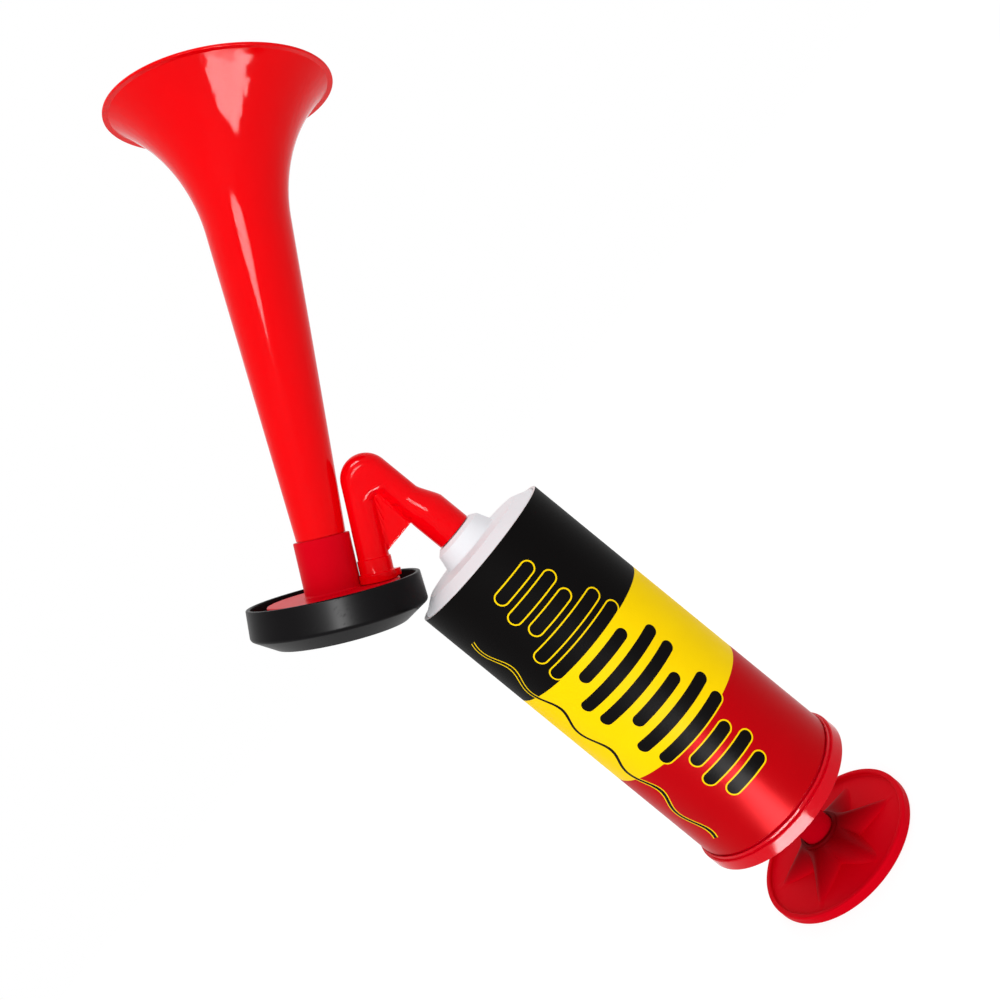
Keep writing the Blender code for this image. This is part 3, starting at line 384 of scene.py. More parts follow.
def printed_film():
    """Satin print. Distances are in millimetres: height up the sleeve, and arc round it from the front.

    Level bars with round ends lie across the tube, one in each cell of the height. Half a bar's
    length is a sine over the whole row times a beat from bar to bar. The thin wave is a band about
    a sine of the height.
    """
    material = bpy.data.materials.new("printed_film")
    material.use_nodes = True
    tree = material.node_tree
    shader = tree.nodes["Principled BSDF"]
    place = add(tree, "SeparateXYZ", {0: add(tree, "TexCoord").outputs["Object"]}).outputs
    height = calc(tree, "DIVIDE", place["Z"], MM)
    front = calc(tree, "ABSOLUTE", place["Y"])
    arc = calc(tree, "MULTIPLY", calc(tree, "ARCTAN2", place["X"], front), SLEEVE_RADIUS)

    cells = calc(tree, "DIVIDE", height, BAR_PITCH)
    cell = calc(tree, "FLOOR", cells)
    along = calc(tree, "SUBTRACT", calc(tree, "SUBTRACT", cells, cell), 0.5)
    along = calc(tree, "MULTIPLY", calc(tree, "ABSOLUTE", along), BAR_PITCH)
    share = calc(tree, "DIVIDE", calc(tree, "SUBTRACT", cell, FIRST_BAR - 1), LAST_BAR - FIRST_BAR + 2)
    swell = calc(tree, "SINE", calc(tree, "MULTIPLY", share, math.pi))
    beat = calc(tree, "ABSOLUTE", calc(tree, "SINE", calc(tree, "MULTIPLY", cell, BEAT)))
    beat = calc(tree, "MULTIPLY_ADD", beat, BEAT_DEPTH, 1 - BEAT_DEPTH)
    reach = calc(tree, "MULTIPLY_ADD", calc(tree, "MULTIPLY", swell, beat), BAR_LENGTHS[1], BAR_LENGTHS[0])
    end = calc(tree, "MAXIMUM", calc(tree, "SUBTRACT", calc(tree, "ABSOLUTE", arc), reach), 0)
    corner = calc(tree, "SQRT", calc(tree, "MULTIPLY_ADD", along, along, calc(tree, "MULTIPLY", end, end)))
    outside = calc(tree, "SUBTRACT", corner, BAR_WIDTH / 2)
    counted = calc(tree, "COMPARE", cell, (FIRST_BAR + LAST_BAR) / 2, (LAST_BAR - FIRST_BAR) / 2 + 0.1)
    bar_ink = calc(tree, "MULTIPLY", calc(tree, "LESS_THAN", outside, 0), counted)
    bar_line = calc(tree, "MULTIPLY", calc(tree, "LESS_THAN", outside, BAR_LINE), counted)

    swing = calc(tree, "SINE", calc(tree, "MULTIPLY", height, 2 * math.pi / WAVE_LENGTH))
    centre = calc(tree, "MULTIPLY_ADD", swing, WAVE_SWING, WAVE_PLACE)
    off_wave = calc(tree, "ABSOLUTE", calc(tree, "SUBTRACT", arc, centre))
    span = calc(tree, "COMPARE", height, sum(WAVE_ENDS) / 2, (WAVE_ENDS[1] - WAVE_ENDS[0]) / 2)
    wave_ink = calc(tree, "MULTIPLY", calc(tree, "LESS_THAN", off_wave, WAVE_WIDTH), span)
    wave_line = calc(tree, "MULTIPLY", calc(tree, "LESS_THAN", off_wave, WAVE_WIDTH + WAVE_LINE), span)

    above_red = calc(tree, "GREATER_THAN", height, YELLOW_FROM)
    above_yellow = calc(tree, "GREATER_THAN", height, BLACK_FROM)
    ink = calc(tree, "MAXIMUM", bar_ink, wave_ink)
    line = calc(tree, "MAXIMUM", bar_line, wave_line)
    colour = PRINT_RED
    for mask, tint in ((above_red, PRINT_YELLOW), (above_yellow, PRINT_BLACK), (line, PRINT_YELLOW),
                       (ink, PRINT_BLACK)):
        colour = add(tree, "Mix", {0: mask, 6: colour, 7: tint}, data_type="RGBA").outputs[2]
    marks = add(tree, "Group", {}, node_tree=MARKS)
    marks.inputs["Cloud Depth"].default_value = 0.10
    marks.inputs["Ripple"].default_value = 0.4
    marks.inputs["Grain"].default_value = 1.0
    tinted = add(tree, "VectorMath", {0: colour, 1: marks.outputs["Tone"]}, operation="MULTIPLY")
    tree.links.new(tinted.outputs[0], shader.inputs["Base Color"])
    red_zone = calc(tree, "SUBTRACT", 1, calc(tree, "MAXIMUM", above_red, line))
    tree.links.new(calc(tree, "MULTIPLY", red_zone, RED_METAL), shader.inputs["Metallic"])
    scuffs = add(tree, "Group", {}, node_tree=RUBS)
    far_up = calc(tree, "DIVIDE", calc(tree, "SUBTRACT", height, POLISH_END), POLISH_FADE)
    dull = calc(tree, "MULTIPLY", add(tree, "Clamp", {0: far_up}).outputs[0], DULL - POLISHED)
    polish = calc(tree, "ADD", dull, POLISHED)
    tree.links.new(calc(tree, "MULTIPLY_ADD", scuffs.outputs["Mask"], FILM_SCUFF_BLUNTS, polish),
                   shader.inputs["Roughness"])
    relief = add(tree, "Bump", {"Height": marks.outputs["Height"], "Strength": 1.0,
                                "Distance": FILM_RELIEF})
    tree.links.new(relief.outputs[0], shader.inputs["Normal"])
    shader.inputs["Specular IOR Level"].default_value = 0.03
    return material


sleeve_section = section([
    (SLEEVE_RADIUS, SLEEVE_REAR, 0.15), (SLEEVE_RADIUS, SLEEVE_FRONT, 0.15),
    (SLEEVE_RADIUS - SLEEVE_WALL, SLEEVE_FRONT, 0.12), (SLEEVE_RADIUS - SLEEVE_WALL, SLEEVE_REAR, 0.12)])
corner_points = FILLET_STEPS + 3            # points on each softened corner, with its two holding points
printed_rows = range(corner_points // 2, corner_points + corner_points // 2)
sleeve = skin("printed_sleeve", revolve(sleeve_section),
              [0 if row in printed_rows else 1 for row in range(len(sleeve_section))])
card = moulded("white_card", (0.82, 0.80, 0.80), 0.6, grain=0.6, rubs=0)
dress(sleeve, [printed_film(), card], "pump", "print_sleeve")

# Rear cap: glossy red moulding pressed over the barrel's rear end, a floor with a long guide for the
# rod, a rounded band and a thin bead in front of it. The band is rubbed where the hand holds it.
CAP_RADIUS, CAP_REAR, BAND_TOP = 31.3, 29.8, 34.2
BEAD_RADIUS, BEAD_TOP, BEAD_WIDTH, BEAD_GROOVE = 30.55, 35.5, 0.55, 0.9
SKIRT_RADIUS, SKIRT_WALL, SKIRT_TOP, CAP_FLOOR = 28.9, 0.5, 35.8, 31.8
GUIDE_BORE, GUIDE_RADIUS, GUIDE_TOP = 6.3, 9.3, 43.0

cap_section = section([
    (GUIDE_BORE, CAP_REAR, 0.3), (CAP_RADIUS, CAP_REAR, 0.35), (CAP_RADIUS, BAND_TOP, 0.3),
    (BEAD_RADIUS - 0.3, BAND_TOP, 0.1), (BEAD_RADIUS, BAND_TOP + 0.5, 0.2),
    (BEAD_RADIUS, BEAD_TOP, 0.2), (BEAD_RADIUS - BEAD_WIDTH, BEAD_TOP, 0.1),
    (BEAD_RADIUS - BEAD_WIDTH, BEAD_TOP - BEAD_GROOVE, 0),
    (SKIRT_RADIUS + SKIRT_WALL, BEAD_TOP - BEAD_GROOVE, 0), (SKIRT_RADIUS + SKIRT_WALL, SKIRT_TOP, 0.1),
    (SKIRT_RADIUS, SKIRT_TOP, 0.1), (SKIRT_RADIUS, CAP_FLOOR, 0.4),
    (GUIDE_RADIUS, CAP_FLOOR, 0.4), (GUIDE_RADIUS, GUIDE_TOP, 0.3), (GUIDE_BORE, GUIDE_TOP, 0.3)])
cap = skin("rear_cap_moulding", revolve(cap_section))
cap_plastic = moulded("cap_red_plastic", (0.66, 0.0, 0.008), 0.11, gloss=0.10, cloud=0.06, rubs=0.9)
dress(cap, [cap_plastic], "pump", "rear_cap")

# Pieces that nobody sees: the rubber stop ring on the rod guide, the rubber cup between two grey plates
# with its zinc-plated screw and washer, the elbow's rubber seal, and the film diaphragm under its grey
# ring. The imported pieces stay, in finishes of their own.


def bare(name, colour, roughness, metallic=0.0, grain=0.5):
    """A finish for a hidden piece: colour and shine with the skin's grain."""
    material = moulded(name, colour, roughness, grain=grain)
    material.node_tree.nodes["Principled BSDF"].inputs["Metallic"].default_value = metallic
    return material


black_rubber = bare("black_rubber", (0.02, 0.02, 0.02), 0.7)
grey_plastic = bare("grey_plastic", (0.35, 0.35, 0.36), 0.45)
zinc = bare("zinc_plating", (0.75, 0.75, 0.77), 0.28, metallic=1.0)
INNER_FINISHES = {"stop_buffer": black_rubber, "piston_cup": black_rubber, "elbow_seal": black_rubber,
                  "piston_front_plate": grey_plastic, "piston_back_plate": grey_plastic,
                  "diaphragm_ring": grey_plastic, "piston_washer": zinc, "piston_screw": zinc,
                  "diaphragm": bare("clear_film", (0.85, 0.88, 0.9), 0.15)}
for node, finish in INNER_FINISHES.items():
    piece = frame["nodes"][node]
    piece.data.materials.clear()
    piece.data.materials.append(finish)

# Plunger rod: a red tube with a solid front end where the piston screw bites, pushed into the hub of
# the handle. Its bare stretch shows behind the cap, and all of it when the plunger is pulled.
ROD_RADIUS, ROD_BORE, ROD_PLUG = 6.0, 4.3, 9.5
PILOT_RADIUS, PILOT_DEPTH = 2.3, 8.9
ROD_COLUMNS = 96
rod_rear, rod_front = (corner.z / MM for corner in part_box("plunger_rod"))

rod_section = section([
    (0, rod_front - PILOT_DEPTH - ROD_PLUG, 0), (ROD_BORE, rod_front - PILOT_DEPTH - ROD_PLUG, 0),
    (ROD_BORE, rod_rear, 0), (ROD_RADIUS, rod_rear, 0.2), (ROD_RADIUS, rod_front, 0.3),
    (PILOT_RADIUS, rod_front, 0), (PILOT_RADIUS, rod_front - PILOT_DEPTH, 0),
    (0, rod_front - PILOT_DEPTH, 0)])
rod = skin("rod_tube", revolve(rod_section, ROD_COLUMNS), loop=False)
rod_plastic = moulded("rod_red_plastic", (0.52, 0.0, 0.008), 0.20, rubs=0.6)
dress(rod, [rod_plastic], "plunger", "plunger_rod")

# Handle: a dark red palm disc, moulded with a raised rim and a six-pointed star of broad triangular
# ribs that climb to the hub. The hub is bored for the rod, and the flat face takes the palm.
HANDLE_RADIUS, RIM_WIDTH, RIM_TOP, WEB_TOP = 30.5, 1.9, 3.2, 1.8
HUB_RADIUS, HUB_TOP, HUB_BORE, HUB_FLOOR = 7.7, 9.4, 6.3, 3.7
CROWN_RADIUS, CROWN_TOP, STAR_FOOT = 8.0, 8.4, 0.9
STAR_POINTS, STAR_TURN = 6, math.radians(42)
STAR_TIP, STAR_NOTCH = 26.2, 10.8
STAR_ROWS, HANDLE_COLUMNS = 24, 288
STAR_SHADE_LOSS = 0.8                    # share of the web's brightness that painted shade takes off the star at the hub's top
RIDGE_ROUND = 0.12                  # radians over which each rib's ridge is rounded


def star_reach(turn):
    """Radius of the star's straight-sided outline at an angle from a tip: a line in polar form."""
    step = math.pi / STAR_POINTS
    turn = np.hypot((turn + step) % (2 * step) - step, RIDGE_ROUND) - RIDGE_ROUND
    return STAR_TIP * STAR_NOTCH * math.sin(step) / (STAR_TIP * np.sin(turn)
                                                     + STAR_NOTCH * np.sin(step - turn))


def handle_grid():
    """Turned rim, hub and face, with the star between: along each radius its slope falls in a line.

    The line runs from the crown's edge to the outline, and is cut off where it meets the web.
    """
    angle = STAR_TURN + np.linspace(0, 2 * math.pi, HANDLE_COLUMNS, endpoint=False)
    inner = section([(0, HUB_FLOOR, 0), (HUB_BORE, HUB_FLOOR, 0), (HUB_BORE, HUB_TOP, 0.25),
                     (HUB_RADIUS, HUB_TOP, 0.35), (HUB_RADIUS, CROWN_TOP, 0)])
    outer = section([(HUB_RADIUS, WEB_TOP, 0), (HANDLE_RADIUS - RIM_WIDTH, WEB_TOP, 0.5),
                     (HANDLE_RADIUS - RIM_WIDTH, RIM_TOP, 0.5), (HANDLE_RADIUS, RIM_TOP, 0.6),
                     (HANDLE_RADIUS, 0, 0.6), (0, 0, 0)])[1:]
    edge = star_reach(angle - STAR_TURN)
    share = np.linspace(0, 1, STAR_ROWS)[:, None]
    slope = (CROWN_TOP - STAR_FOOT) / (edge - CROWN_RADIUS)
    foot = edge - (WEB_TOP - STAR_FOOT) / slope
    radius = CROWN_RADIUS + (foot - CROWN_RADIUS) * share
    height = CROWN_TOP - (radius - CROWN_RADIUS) * slope
    star = np.stack([radius * np.cos(angle), radius * np.sin(angle), height], axis=-1)
    inside, outside = (np.stack([line[:, :1] * np.cos(angle), line[:, :1] * np.sin(angle),
                                 line[:, 1:] + 0 * angle], axis=-1) for line in (inner, outer))
    return np.concatenate([inside, star, outside])


def paint_star_shade(material):
    """Painted shade on the star and hub, where the pump shades them: the tone falls with the root of the
    height.
    """
    tree = material.node_tree
    base = tree.nodes["Principled BSDF"].inputs["Base Color"]
    place = add(tree, "TexCoord").outputs["Object"]
    flat = add(tree, "VectorMath", {0: place, 1: (1, 1, 0)}, operation="MULTIPLY").outputs[0]
    radius = add(tree, "VectorMath", {0: flat}, operation="LENGTH").outputs["Value"]
    within = calc(tree, "LESS_THAN", radius, (HANDLE_RADIUS - 2 * RIM_WIDTH) * MM)
    height = calc(tree, "DIVIDE", add(tree, "SeparateXYZ", {0: place}).outputs["Z"], MM)
    rise = calc(tree, "DIVIDE", calc(tree, "SUBTRACT", height, WEB_TOP), HUB_TOP - WEB_TOP)
    shade_share = calc(tree, "SQRT", add(tree, "Clamp", {0: rise}).outputs[0])
    tone = calc(tree, "MULTIPLY_ADD", calc(tree, "MULTIPLY", shade_share, within), -STAR_SHADE_LOSS, 1.0)
    deep = add(tree, "VectorMath", {0: base.links[0].from_socket, 1: tone}, operation="MULTIPLY")
    tree.links.new(deep.outputs[0], base)


handle = skin("handle_moulding", handle_grid(), loop=False)
handle_plastic = moulded("handle_red_plastic", (0.66, 0.0, 0.008), 0.46, gloss=0.02, rubs=0.5)
# The star and hub get painted shade, darker towards the hub's top.
paint_star_shade(handle_plastic)
dress(handle, [handle_plastic], "plunger", "handle_disc")

# Elbow: a glossy red hairpin pipe. Its socket turns on the nozzle, its neck bends over twice into a
# leg beside the trumpet, and the leg's foot is pressed into the plate. A thin web stiffens the bend.
horn_base = next(mount for mount in frame["record"]["mounts"] if mount["name"] == "cover_base")
HORN_AXIS = -Vector(horn_base["axis"])
COVER_DEPTH = 15.7                  # from the cover's rim down to its flat base
RIM_CENTRE = Vector(horn_base["pos_m"]) / MM + HORN_AXIS * COVER_DEPTH
HORN_SIDE = Vector((HORN_AXIS.z, 0, -HORN_AXIS.x))
SOCKET_RADIUS, SOCKET_MOUTH, MOUTH_ROUND = 7.2, 172.8, 0.25
SEAL_SEAT, SEAL_SEAT_END, SOCKET_BORE, SOCKET_ROOM = 6.4, 175.9, 5.0, 186.5
NECK_X, NECK_RADIUS = -1.3, 5.4
SWELL_FOOT, SWELL_END = 184.6, 193.2    # heights between which the socket narrows to the neck
SWELL_STRAIGHT = 0.7                # share of that taper that is straight, against soft at its ends
LEG_RADIUS, PASSAGE_RADIUS, CROTCH_ROUND = 5.6, 3.4, 0.8
BEND_RADIUS = 3.7                   # of the pipe's centre line round the bend
LEG_TOP = Vector((-7.1, 0, 211.6))  # where the leg's centre line would meet the top of the bend
FOOT_RINGS = [(5.6, 8.4), (5.6, 7.95), (5.6, 7.9), (5.75, 7.55), (6.1, 7.4), (6.1, 2.9), (6.25, 2.55),
              (6.75, 2.4), (7.0, 2.15), (7.0, -0.5), (4.6, -0.5), (4.6, -3.5)]      # radius and height
LUG_END, LUG_WIDTH = 8.4, 5.0       # from the leg's centre line
WEB_WIDTH, WEB_EDGE, WEB_FILLET, EDGE_ROUND = 2.6, 186.5, 0.8, 0.35
INNER_ROUND = 3.0                   # how far the bend's inner edge is rounded off
LEG_OFFSET = 16.22                  # from the horn's axis to the leg's
COLLAR_ROOM = 10.35                 # the foot stops at this distance from the horn's axis
PIPE_COLUMNS, STRAIGHT_ROWS, BEND_ROWS, SWELL_ROWS = 96, 6, 26, 24
WEB_COLUMNS, LUG_COLUMNS = 60, 14


def horn_place(across, side, height):
    """Points given in the horn's own frame, as points of the whole: rim centre, plus three steps."""
    across, side, height = np.broadcast_arrays(across, side, height)
    return (np.array(RIM_CENTRE) + across[..., None] * np.array(HORN_SIDE)
            + side[..., None] * np.array((0, 1, 0)) + height[..., None] * np.array(HORN_AXIS))


def oval(inner, outer, half_width):
    """A ring seen along Y as the line from inner to outer, and half_width wide to each side of it."""
    angle = np.linspace(0, 2 * math.pi, PIPE_COLUMNS, endpoint=False)[:, None]
    middle, reach = (np.array(inner) + np.array(outer)) / 2, (np.array(outer) - np.array(inner)) / 2
    return middle + np.cos(angle) * reach + np.sin(angle) * np.array((0, half_width, 0))


def leg_ring(radius, height):
    """A ring of the leg, square to it."""
    middle = RIM_CENTRE + HORN_AXIS * height + HORN_SIDE * LEG_OFFSET
    return oval(middle + HORN_SIDE * radius, middle - HORN_SIDE * radius, radius)


def neck_ring(radius, height, centre=0.0):
    """A level ring of the socket or the neck."""
    return oval((centre - radius, 0, height), (centre + radius, 0, height), radius)


BEND_X = NECK_X - BEND_RADIUS
BEND_RISE = ((BEND_X - LEG_TOP.x) * HORN_SIDE.x - BEND_RADIUS) / HORN_AXIS.x
BEND_CENTRE = Vector((BEND_X, 0, LEG_TOP.z + BEND_RISE))


def hairpin(radius):
    """Rings round the bend, fanned out from the crotch between the legs to an arc outside.

    A ring's half width is r sqrt(1 - (1 - t)^2), where t runs from 0 to 1 over one radius in from its
    outer end, and again over the inner round at its other end. Between them it keeps its full width.
    """
    crotch = np.array((NECK_X - radius - CROTCH_ROUND, 0, 0))
    drop = (crotch[0] - BEND_CENTRE.x) * HORN_SIDE.x + BEND_RADIUS - radius - CROTCH_ROUND
    crotch[2] = BEND_CENTRE.z + drop / HORN_AXIS.x
    centre, axis = np.array(BEND_CENTRE), np.array(HORN_AXIS)
    reach = BEND_RADIUS + radius
    turn = np.linspace(0, math.atan2(axis[0], -axis[2]), BEND_ROWS)[:, None]
    arc = centre + reach * (np.cos(turn) * (1, 0, 0) + np.sin(turn) * (0, 0, 1))
    up = np.linspace(0, 1, STRAIGHT_ROWS, endpoint=False)[:, None]
    neck_side = np.array((arc[0, 0], 0, crotch[2]))
    leg_side = arc[-1] - axis * ((arc[-1] - crotch) @ axis)
    outer = np.concatenate([neck_side + (arc[0] - neck_side) * up, arc,
                            (leg_side + (arc[-1] - leg_side) * up)[::-1]])
    inner = crotch + (outer - crotch) / np.linalg.norm(outer - crotch, axis=1)[:, None] * CROTCH_ROUND

    angle = np.linspace(0, 2 * math.pi, PIPE_COLUMNS, endpoint=False)[:, None]
    rings = ((inner + outer) / 2)[:, None] + np.cos(angle) * ((outer - inner) / 2)[:, None]
    length = np.linalg.norm(outer - inner, axis=1)[:, None]
    from_outer = (1 - np.cos(angle[:, 0])) / 2 * length
    share = np.linspace(0, 1, len(outer))[:, None]
    round_off = radius + (min(INNER_ROUND, radius) - radius) * np.sin(math.pi * share) ** 0.5
    ends = np.clip(from_outer / radius, 0, 1), np.clip((length - from_outer) / round_off, 0, 1)
    half_width = radius * np.sqrt((1 - (1 - ends[0]) ** 2) * (1 - (1 - ends[1]) ** 2))
    rings[..., 1] = np.where(np.sin(angle[:, 0]) < 0, -half_width, half_width)
    return list(rings)


def clear_of_collar(grid):
    """Moves what would run into the plate's collar straight out to its clearance."""
    away = grid - np.array(RIM_CENTRE)
    across = away @ np.array(HORN_SIDE)
    distance = np.hypot(across, grid[..., 1])
    low = (away @ np.array(HORN_AXIS) < FOOT_RINGS[0][1] + 0.1) & (distance < COLLAR_ROOM)
    push = np.where(low, COLLAR_ROOM / distance, 1.0)
    grid += (across * (push - 1))[..., None] * np.array(HORN_SIDE)
    grid[..., 1] *= push
    return grid


def elbow_grid():
    """The pipe's outside from the socket to the spigot, and its bore from there back to the mouth.

    The swell from neck to socket is a straight taper with a soft start and end.
    """
    swell = []
    for share in np.linspace(0, 1, SWELL_ROWS):
        soft = (1 - math.cos(math.pi * share)) / 2
        ease = SWELL_STRAIGHT * share + (1 - SWELL_STRAIGHT) * soft
        swell.append(neck_ring(SOCKET_RADIUS + (NECK_RADIUS - SOCKET_RADIUS) * ease,
                               SWELL_FOOT + (SWELL_END - SWELL_FOOT) * share, NECK_X * ease))
    rings = [neck_ring(SOCKET_RADIUS - MOUTH_ROUND, SOCKET_MOUTH),
             neck_ring(SOCKET_RADIUS, SOCKET_MOUTH + MOUTH_ROUND)]
    rings += swell + hairpin(NECK_RADIUS) + [leg_ring(*ring) for ring in FOOT_RINGS]
    rings += [leg_ring(PASSAGE_RADIUS, FOOT_RINGS[-1][1])] + hairpin(PASSAGE_RADIUS)[::-1]
    rings += [neck_ring(PASSAGE_RADIUS, SOCKET_ROOM, NECK_X), neck_ring(SOCKET_BORE, SOCKET_ROOM),
              neck_ring(SOCKET_BORE, SEAL_SEAT_END), neck_ring(SEAL_SEAT, SEAL_SEAT_END),
              neck_ring(SEAL_SEAT, SOCKET_MOUTH)]
    return clear_of_collar(np.array(rings))


def slab(name, along, half_width, rows):
    """A thin closed solid: each row is a line of points, given half a width to each side along Y.

    rows are 3-D lines of equal length, half_width is a number for each point, and along is the share
    of it that each row gets.
    """
    lines = np.array(rows)
    widths = np.broadcast_to(half_width, lines.shape[:2]) * np.asarray(along)[:, None]
    sides = [lines + np.stack([0 * widths, sign * widths, 0 * widths], axis=-1) for sign in (1, -1)]
    return skin(name, np.concatenate([sides[0], sides[1][:, ::-1]], axis=1), loop=False)


def elbow_web():
    """Thin web under the bend: its half width grows in a round fillet where it meets each pipe."""
    heights = WEB_EDGE + np.array([0, 0, EDGE_ROUND * 0.3, EDGE_ROUND, 2, 5, 8, 11, 14, 17, 19, 19])
    share = np.linspace(0, 1, WEB_COLUMNS)
    leg_x = LEG_TOP.x - (LEG_TOP.z - heights) * HORN_AXIS.x / HORN_AXIS.z
    across = leg_x[:, None] + (NECK_X - leg_x[:, None]) * share
    to_neck = NECK_X - across - NECK_RADIUS
    to_leg = (across - leg_x[:, None]) * HORN_AXIS.z - LEG_RADIUS
    near = np.clip(1 - np.minimum(to_neck, to_leg) / WEB_FILLET, 0, 1)
    half_width = WEB_WIDTH / 2 + WEB_FILLET * (1 - np.sqrt(1 - near ** 2))
    rows = np.stack([across, 0 * across, heights[:, None] + 0 * across], axis=-1)
    return slab("elbow_web", [0, 0.75, 0.92] + [1] * (len(heights) - 4) + [0], half_width, rows)


def foot_lug():
    """Lug on the foot: a short tongue with a round end, its edges softened above and below."""
    angle = np.linspace(0, math.pi / 2, LUG_COLUMNS)
    reach = np.append(0, LUG_END - LUG_WIDTH / 2 + LUG_WIDTH / 2 * np.sin(angle))
    half_width = np.append(1, np.cos(angle)) * LUG_WIDTH / 2
    levels = [(0, 0), (0, 0.9), (0.25, 1), (2.15, 1), (2.4, 0.9), (2.4, 0)]
    rows = [horn_place(LEG_OFFSET + reach, 0 * reach, 0 * reach + height) for height, _ in levels]
    return slab("foot_lug", [width for _, width in levels], half_width, rows)


elbow = skin("elbow_moulding", elbow_grid())
for part in (elbow_web(), foot_lug()):
    joined = bmesh.new()
    joined.from_mesh(elbow.data)
    joined.from_mesh(part.data)
    joined.to_mesh(elbow.data)
    joined.free()
    bpy.data.objects.remove(part)
elbow_plastic = moulded("elbow_red_plastic", (0.84, 0.0, 0.003), 0.07, cloud=0.05, rubs=0.2)
dress(elbow, [elbow_plastic], "horn_head", "elbow_pipe")

# Sound plate: a crimson moulding that closes the sound chamber, with a collar for the trumpet's tail
# above and the throat below. The elbow's foot sits beside the collar, and the black cover grips it.
PLATE_RADIUS, PLATE_FACE, PLATE_UNDER = 23.82, -0.8, -2.8
FLANGE_RADIUS, FLANGE_TOP, FLANGE_UNDER = 29.22, -4.2, -6.2
COLLAR_RADIUS, SEAT_RADIUS, COLLAR_TOP = 10.05, 8.8, 18.6
THROAT_RADIUS, THROAT_WALL, PLATE_SIDE_WALL = 6.8, 1.4, 1.8
SPIGOT_HOLE = 4.9                   # radius of the hole under the elbow's foot


def tilted(grid):
    """A grid made about Z, stood on the horn's axis."""
    return horn_place(grid[..., 0], grid[..., 1], grid[..., 2])


plate_section = section([
    (THROAT_RADIUS, FLANGE_UNDER, 0), (THROAT_RADIUS + THROAT_WALL, FLANGE_UNDER, 0),
    (THROAT_RADIUS + THROAT_WALL, PLATE_UNDER, 0.3), (PLATE_RADIUS - PLATE_SIDE_WALL, PLATE_UNDER, 0.3),
    (PLATE_RADIUS - PLATE_SIDE_WALL, FLANGE_UNDER, 0), (FLANGE_RADIUS, FLANGE_UNDER, 0.2),
    (FLANGE_RADIUS, FLANGE_TOP, 0.3), (PLATE_RADIUS, FLANGE_TOP, 0.4), (PLATE_RADIUS, PLATE_FACE, 0.5),
    (COLLAR_RADIUS, PLATE_FACE, 0.9), (COLLAR_RADIUS, COLLAR_TOP, 0.35), (SEAT_RADIUS, COLLAR_TOP, 0.2),
    (SEAT_RADIUS, 0, 0), (THROAT_RADIUS, 0, 0)])
plate = skin("sound_plate_moulding", tilted(revolve(plate_section)))
bore = skin("spigot_hole", np.array([leg_ring(radius, height) for radius, height in (
    (0, PLATE_UNDER - 1), (SPIGOT_HOLE, PLATE_UNDER - 1), (SPIGOT_HOLE, PLATE_FACE + 1),
    (0, PLATE_FACE + 1))]), loop=False)
plate.modifiers.new("spigot_hole", "BOOLEAN").object = bore
bpy.context.view_layer.update()
bored = plate.evaluated_get(bpy.context.evaluated_depsgraph_get())
plate.data = bpy.data.meshes.new_from_object(bored)
plate.data.set_sharp_from_angle(angle=math.radians(SHARP_ANGLE))
plate.modifiers.clear()
bpy.data.objects.remove(bore)
plate_plastic = moulded("plate_crimson_plastic", (0.66, 0.0, 0.008), 0.34, gloss=0.03, rubs=0.3)
dress(plate, [plate_plastic], "horn_head", "sound_plate")

# Chamber cover: a black dish snapped over the plate's flange, with a thin rim standing free of the
# plate and a broad chamfer down to its flat base. It clamps the diaphragm and its ring.
RIM_RADIUS, RIM_WALL, COVER_WALL = 31.02, 1.5, 1.6
WIDEST_RADIUS, WIDEST_HEIGHT, BASE_RADIUS = 31.72, -10.4, 23.42
LEDGE_HEIGHT, LEDGE_RADIUS, INSIDE_FLOOR = -8.7, 25.52, COVER_WALL - COVER_DEPTH

cover_section = section([
    (0, -COVER_DEPTH, 0), (BASE_RADIUS, -COVER_DEPTH, 1.2), (WIDEST_RADIUS, WIDEST_HEIGHT, 1.6),
    (RIM_RADIUS, 0, 0.45), (RIM_RADIUS - RIM_WALL, 0, 0.45), (RIM_RADIUS - RIM_WALL, LEDGE_HEIGHT, 0),
    (LEDGE_RADIUS, LEDGE_HEIGHT, 0), (LEDGE_RADIUS, WIDEST_HEIGHT, 0),
    (BASE_RADIUS - COVER_WALL, INSIDE_FLOOR, 0), (0, INSIDE_FLOOR, 0)])
cover = skin("cover_dish", tilted(revolve(cover_section)), loop=False)
cover_plastic = moulded("cover_black_plastic", (0.004, 0.0035, 0.004), 0.36, gloss=0.055, rubs=0.5)
dress(cover, [cover_plastic], "horn_head", "chamber_cover")

# Trumpet: a thin red moulding, highly polished. A tail pushed into the plate's collar, a long slender
# cone, and a bell whose flare follows part of an ellipse out to a stepped lip.
TAIL_RADIUS, TRUMPET_WALL, TAIL_FOOT = 8.5, 1.3, 0.3
CONE_RADIUS, CONE_SLOPE, CONE_FOOT = 8.8, 0.0567, 18.9
FLARE_FOOT, BELL_TOP, FLARE_ROUNDNESS = 129.1, 173.4, 0.747
BELL_RADIUS, LIP_HEIGHT, LIP_STEP, LIP_WIDTH = 39.9, 1.0, 0.5, 1.9
LIP_ROOM = 0.4                      # height under the lip's face that the inside wall stops at
TRUMPET_COLUMNS, CONE_ROWS, FLARE_ROWS = 320, 24, 60


def bell_radius(height):
    """Outer radius: a straight cone plus the flare, a share of a quarter ellipse."""
    cone = CONE_RADIUS + CONE_SLOPE * (height - COLLAR_TOP)
    along = np.clip((height - FLARE_FOOT) / (BELL_TOP - FLARE_FOOT), 0, None)
    growth = BELL_RADIUS - LIP_STEP - CONE_RADIUS - CONE_SLOPE * (BELL_TOP - COLLAR_TOP)
    rise = 1 - np.sqrt(1 - FLARE_ROUNDNESS * along ** 2)
    return cone + growth * rise / (1 - math.sqrt(1 - FLARE_ROUNDNESS))


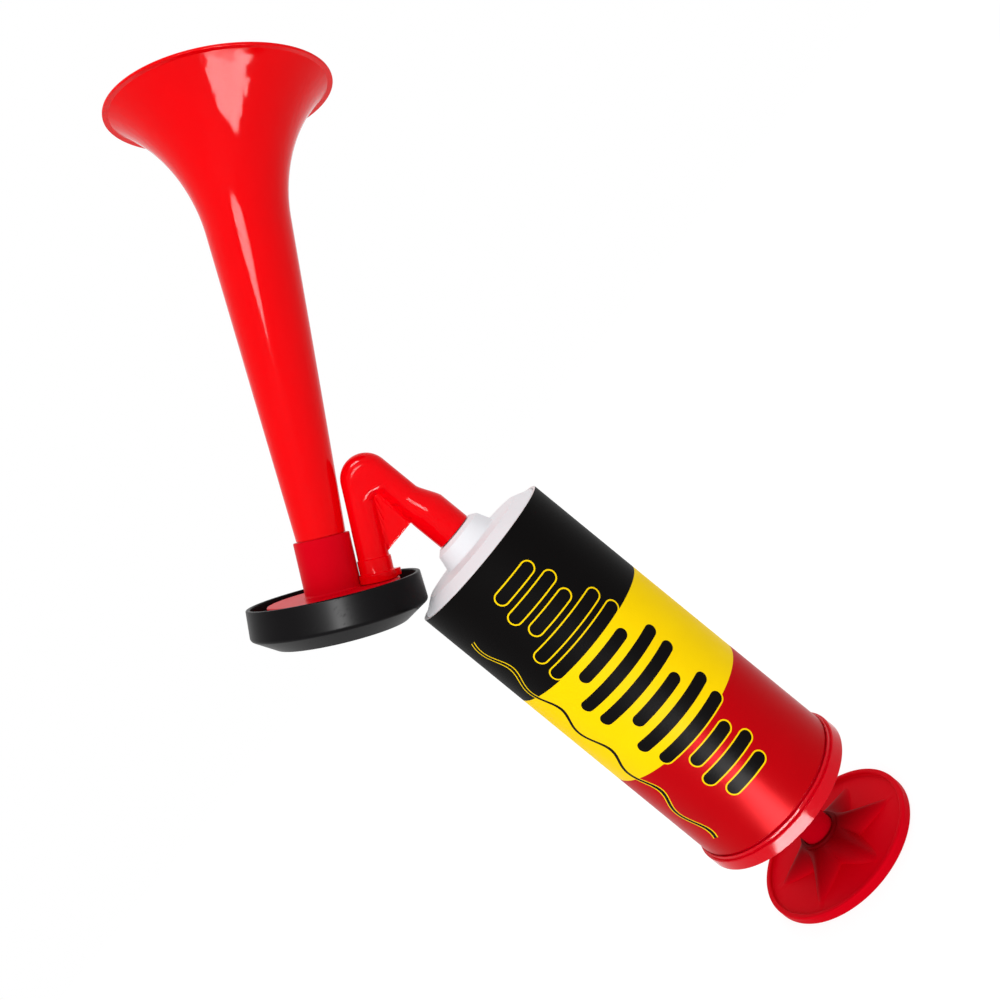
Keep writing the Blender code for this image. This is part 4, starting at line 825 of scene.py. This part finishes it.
def trumpet_section():
    """Tail, cone and flare outside, the lip, and the same line back inside, one wall further in."""
    ease = np.sin(np.linspace(0, math.pi / 2, FLARE_ROWS))
    heights = np.concatenate([np.linspace(CONE_FOOT, FLARE_FOOT, CONE_ROWS)[:-1],
                              FLARE_FOOT + (BELL_TOP - LIP_HEIGHT - FLARE_FOOT) * ease])
    outside = np.stack([bell_radius(heights), heights], axis=1)
    deep = np.append(heights, BELL_TOP)
    slope = np.gradient(bell_radius(deep), deep)
    length = np.hypot(1, slope)
    inside = np.stack([bell_radius(deep) - TRUMPET_WALL / length,
                       deep + TRUMPET_WALL * slope / length], axis=1)
    inside = inside[inside[:, 1] < BELL_TOP - LIP_ROOM]
    lip_foot = BELL_TOP - LIP_HEIGHT
    lip = section([(BELL_RADIUS - LIP_STEP, lip_foot - 2, 0), (BELL_RADIUS - LIP_STEP, lip_foot, 0),
                   (BELL_RADIUS, lip_foot, 0.25), (BELL_RADIUS, BELL_TOP, 0.5),
                   (BELL_RADIUS - LIP_WIDTH, BELL_TOP, 0.5), (*inside[-1], 0)])[2:-1]
    tail = np.array([(TAIL_RADIUS - TRUMPET_WALL, TAIL_FOOT), (TAIL_RADIUS, TAIL_FOOT),
                     (TAIL_RADIUS, CONE_FOOT)])
    return np.concatenate([tail, outside, lip, inside[::-1]])


trumpet = skin("trumpet_moulding", tilted(revolve(trumpet_section(), TRUMPET_COLUMNS)))
trumpet_plastic = moulded("trumpet_red_plastic", (0.83, 0.0, 0.002), 0.08, cloud=0.05, rubs=0.15, flow=5.0,
                          turn=-math.atan2(HORN_AXIS.x, HORN_AXIS.z))
dress(trumpet, [trumpet_plastic], "horn_head", "trumpet")

# Studio strips: bright narrow boxes on the floor and in front, for the crisp highlights on polished
# plastic. Each shows only in the gloss of the pieces that it is set up for. They are many times as
# bright as white, because the specular levels above are well below those of real plastic.
FLOOR_STRIP = 0.004                 # height of the strips that lie on the floor
STRIPS = [                          # name, centre, target, size, brightness, and pieces that mirror it
    ("tall_strip", (-0.005, -0.60, 0.46), (-0.005, 0, 0.32), (0.185, 0.155), 44, (trumpet, elbow, cover)),
    ("top_strip", (0.072, -0.230, 0.654), (-0.003, -0.005, 0.214), (0.20, 0.13), 60, (elbow, cap)),
    ("far_strip", (-0.075, -0.256, FLOOR_STRIP), (-0.075, -0.256, 1), (0.24, 0.288), 50, (trumpet, elbow)),
    ("near_strip", (-0.022, -0.080, FLOOR_STRIP), (-0.022, -0.080, 1), (0.06, 0.064), 54,
     (trumpet, elbow, cap, handle)),
    ("side_strip", (-0.125, -0.090, FLOOR_STRIP), (-0.125, -0.090, 1), (0.146, 0.044), 26, (trumpet,)),
    ("dish_strip", (0.0, -0.60, 0.140), (-0.040, -0.03, 0.20), (0.11, 0.08), 260, (cover,)),
    ("sleeve_strip", (-0.026, -0.175, FLOOR_STRIP), (-0.026, -0.175, 1), (0.045, 0.23), 34, (sleeve,))]
for strip in STRIPS:
    softbox(*strip)
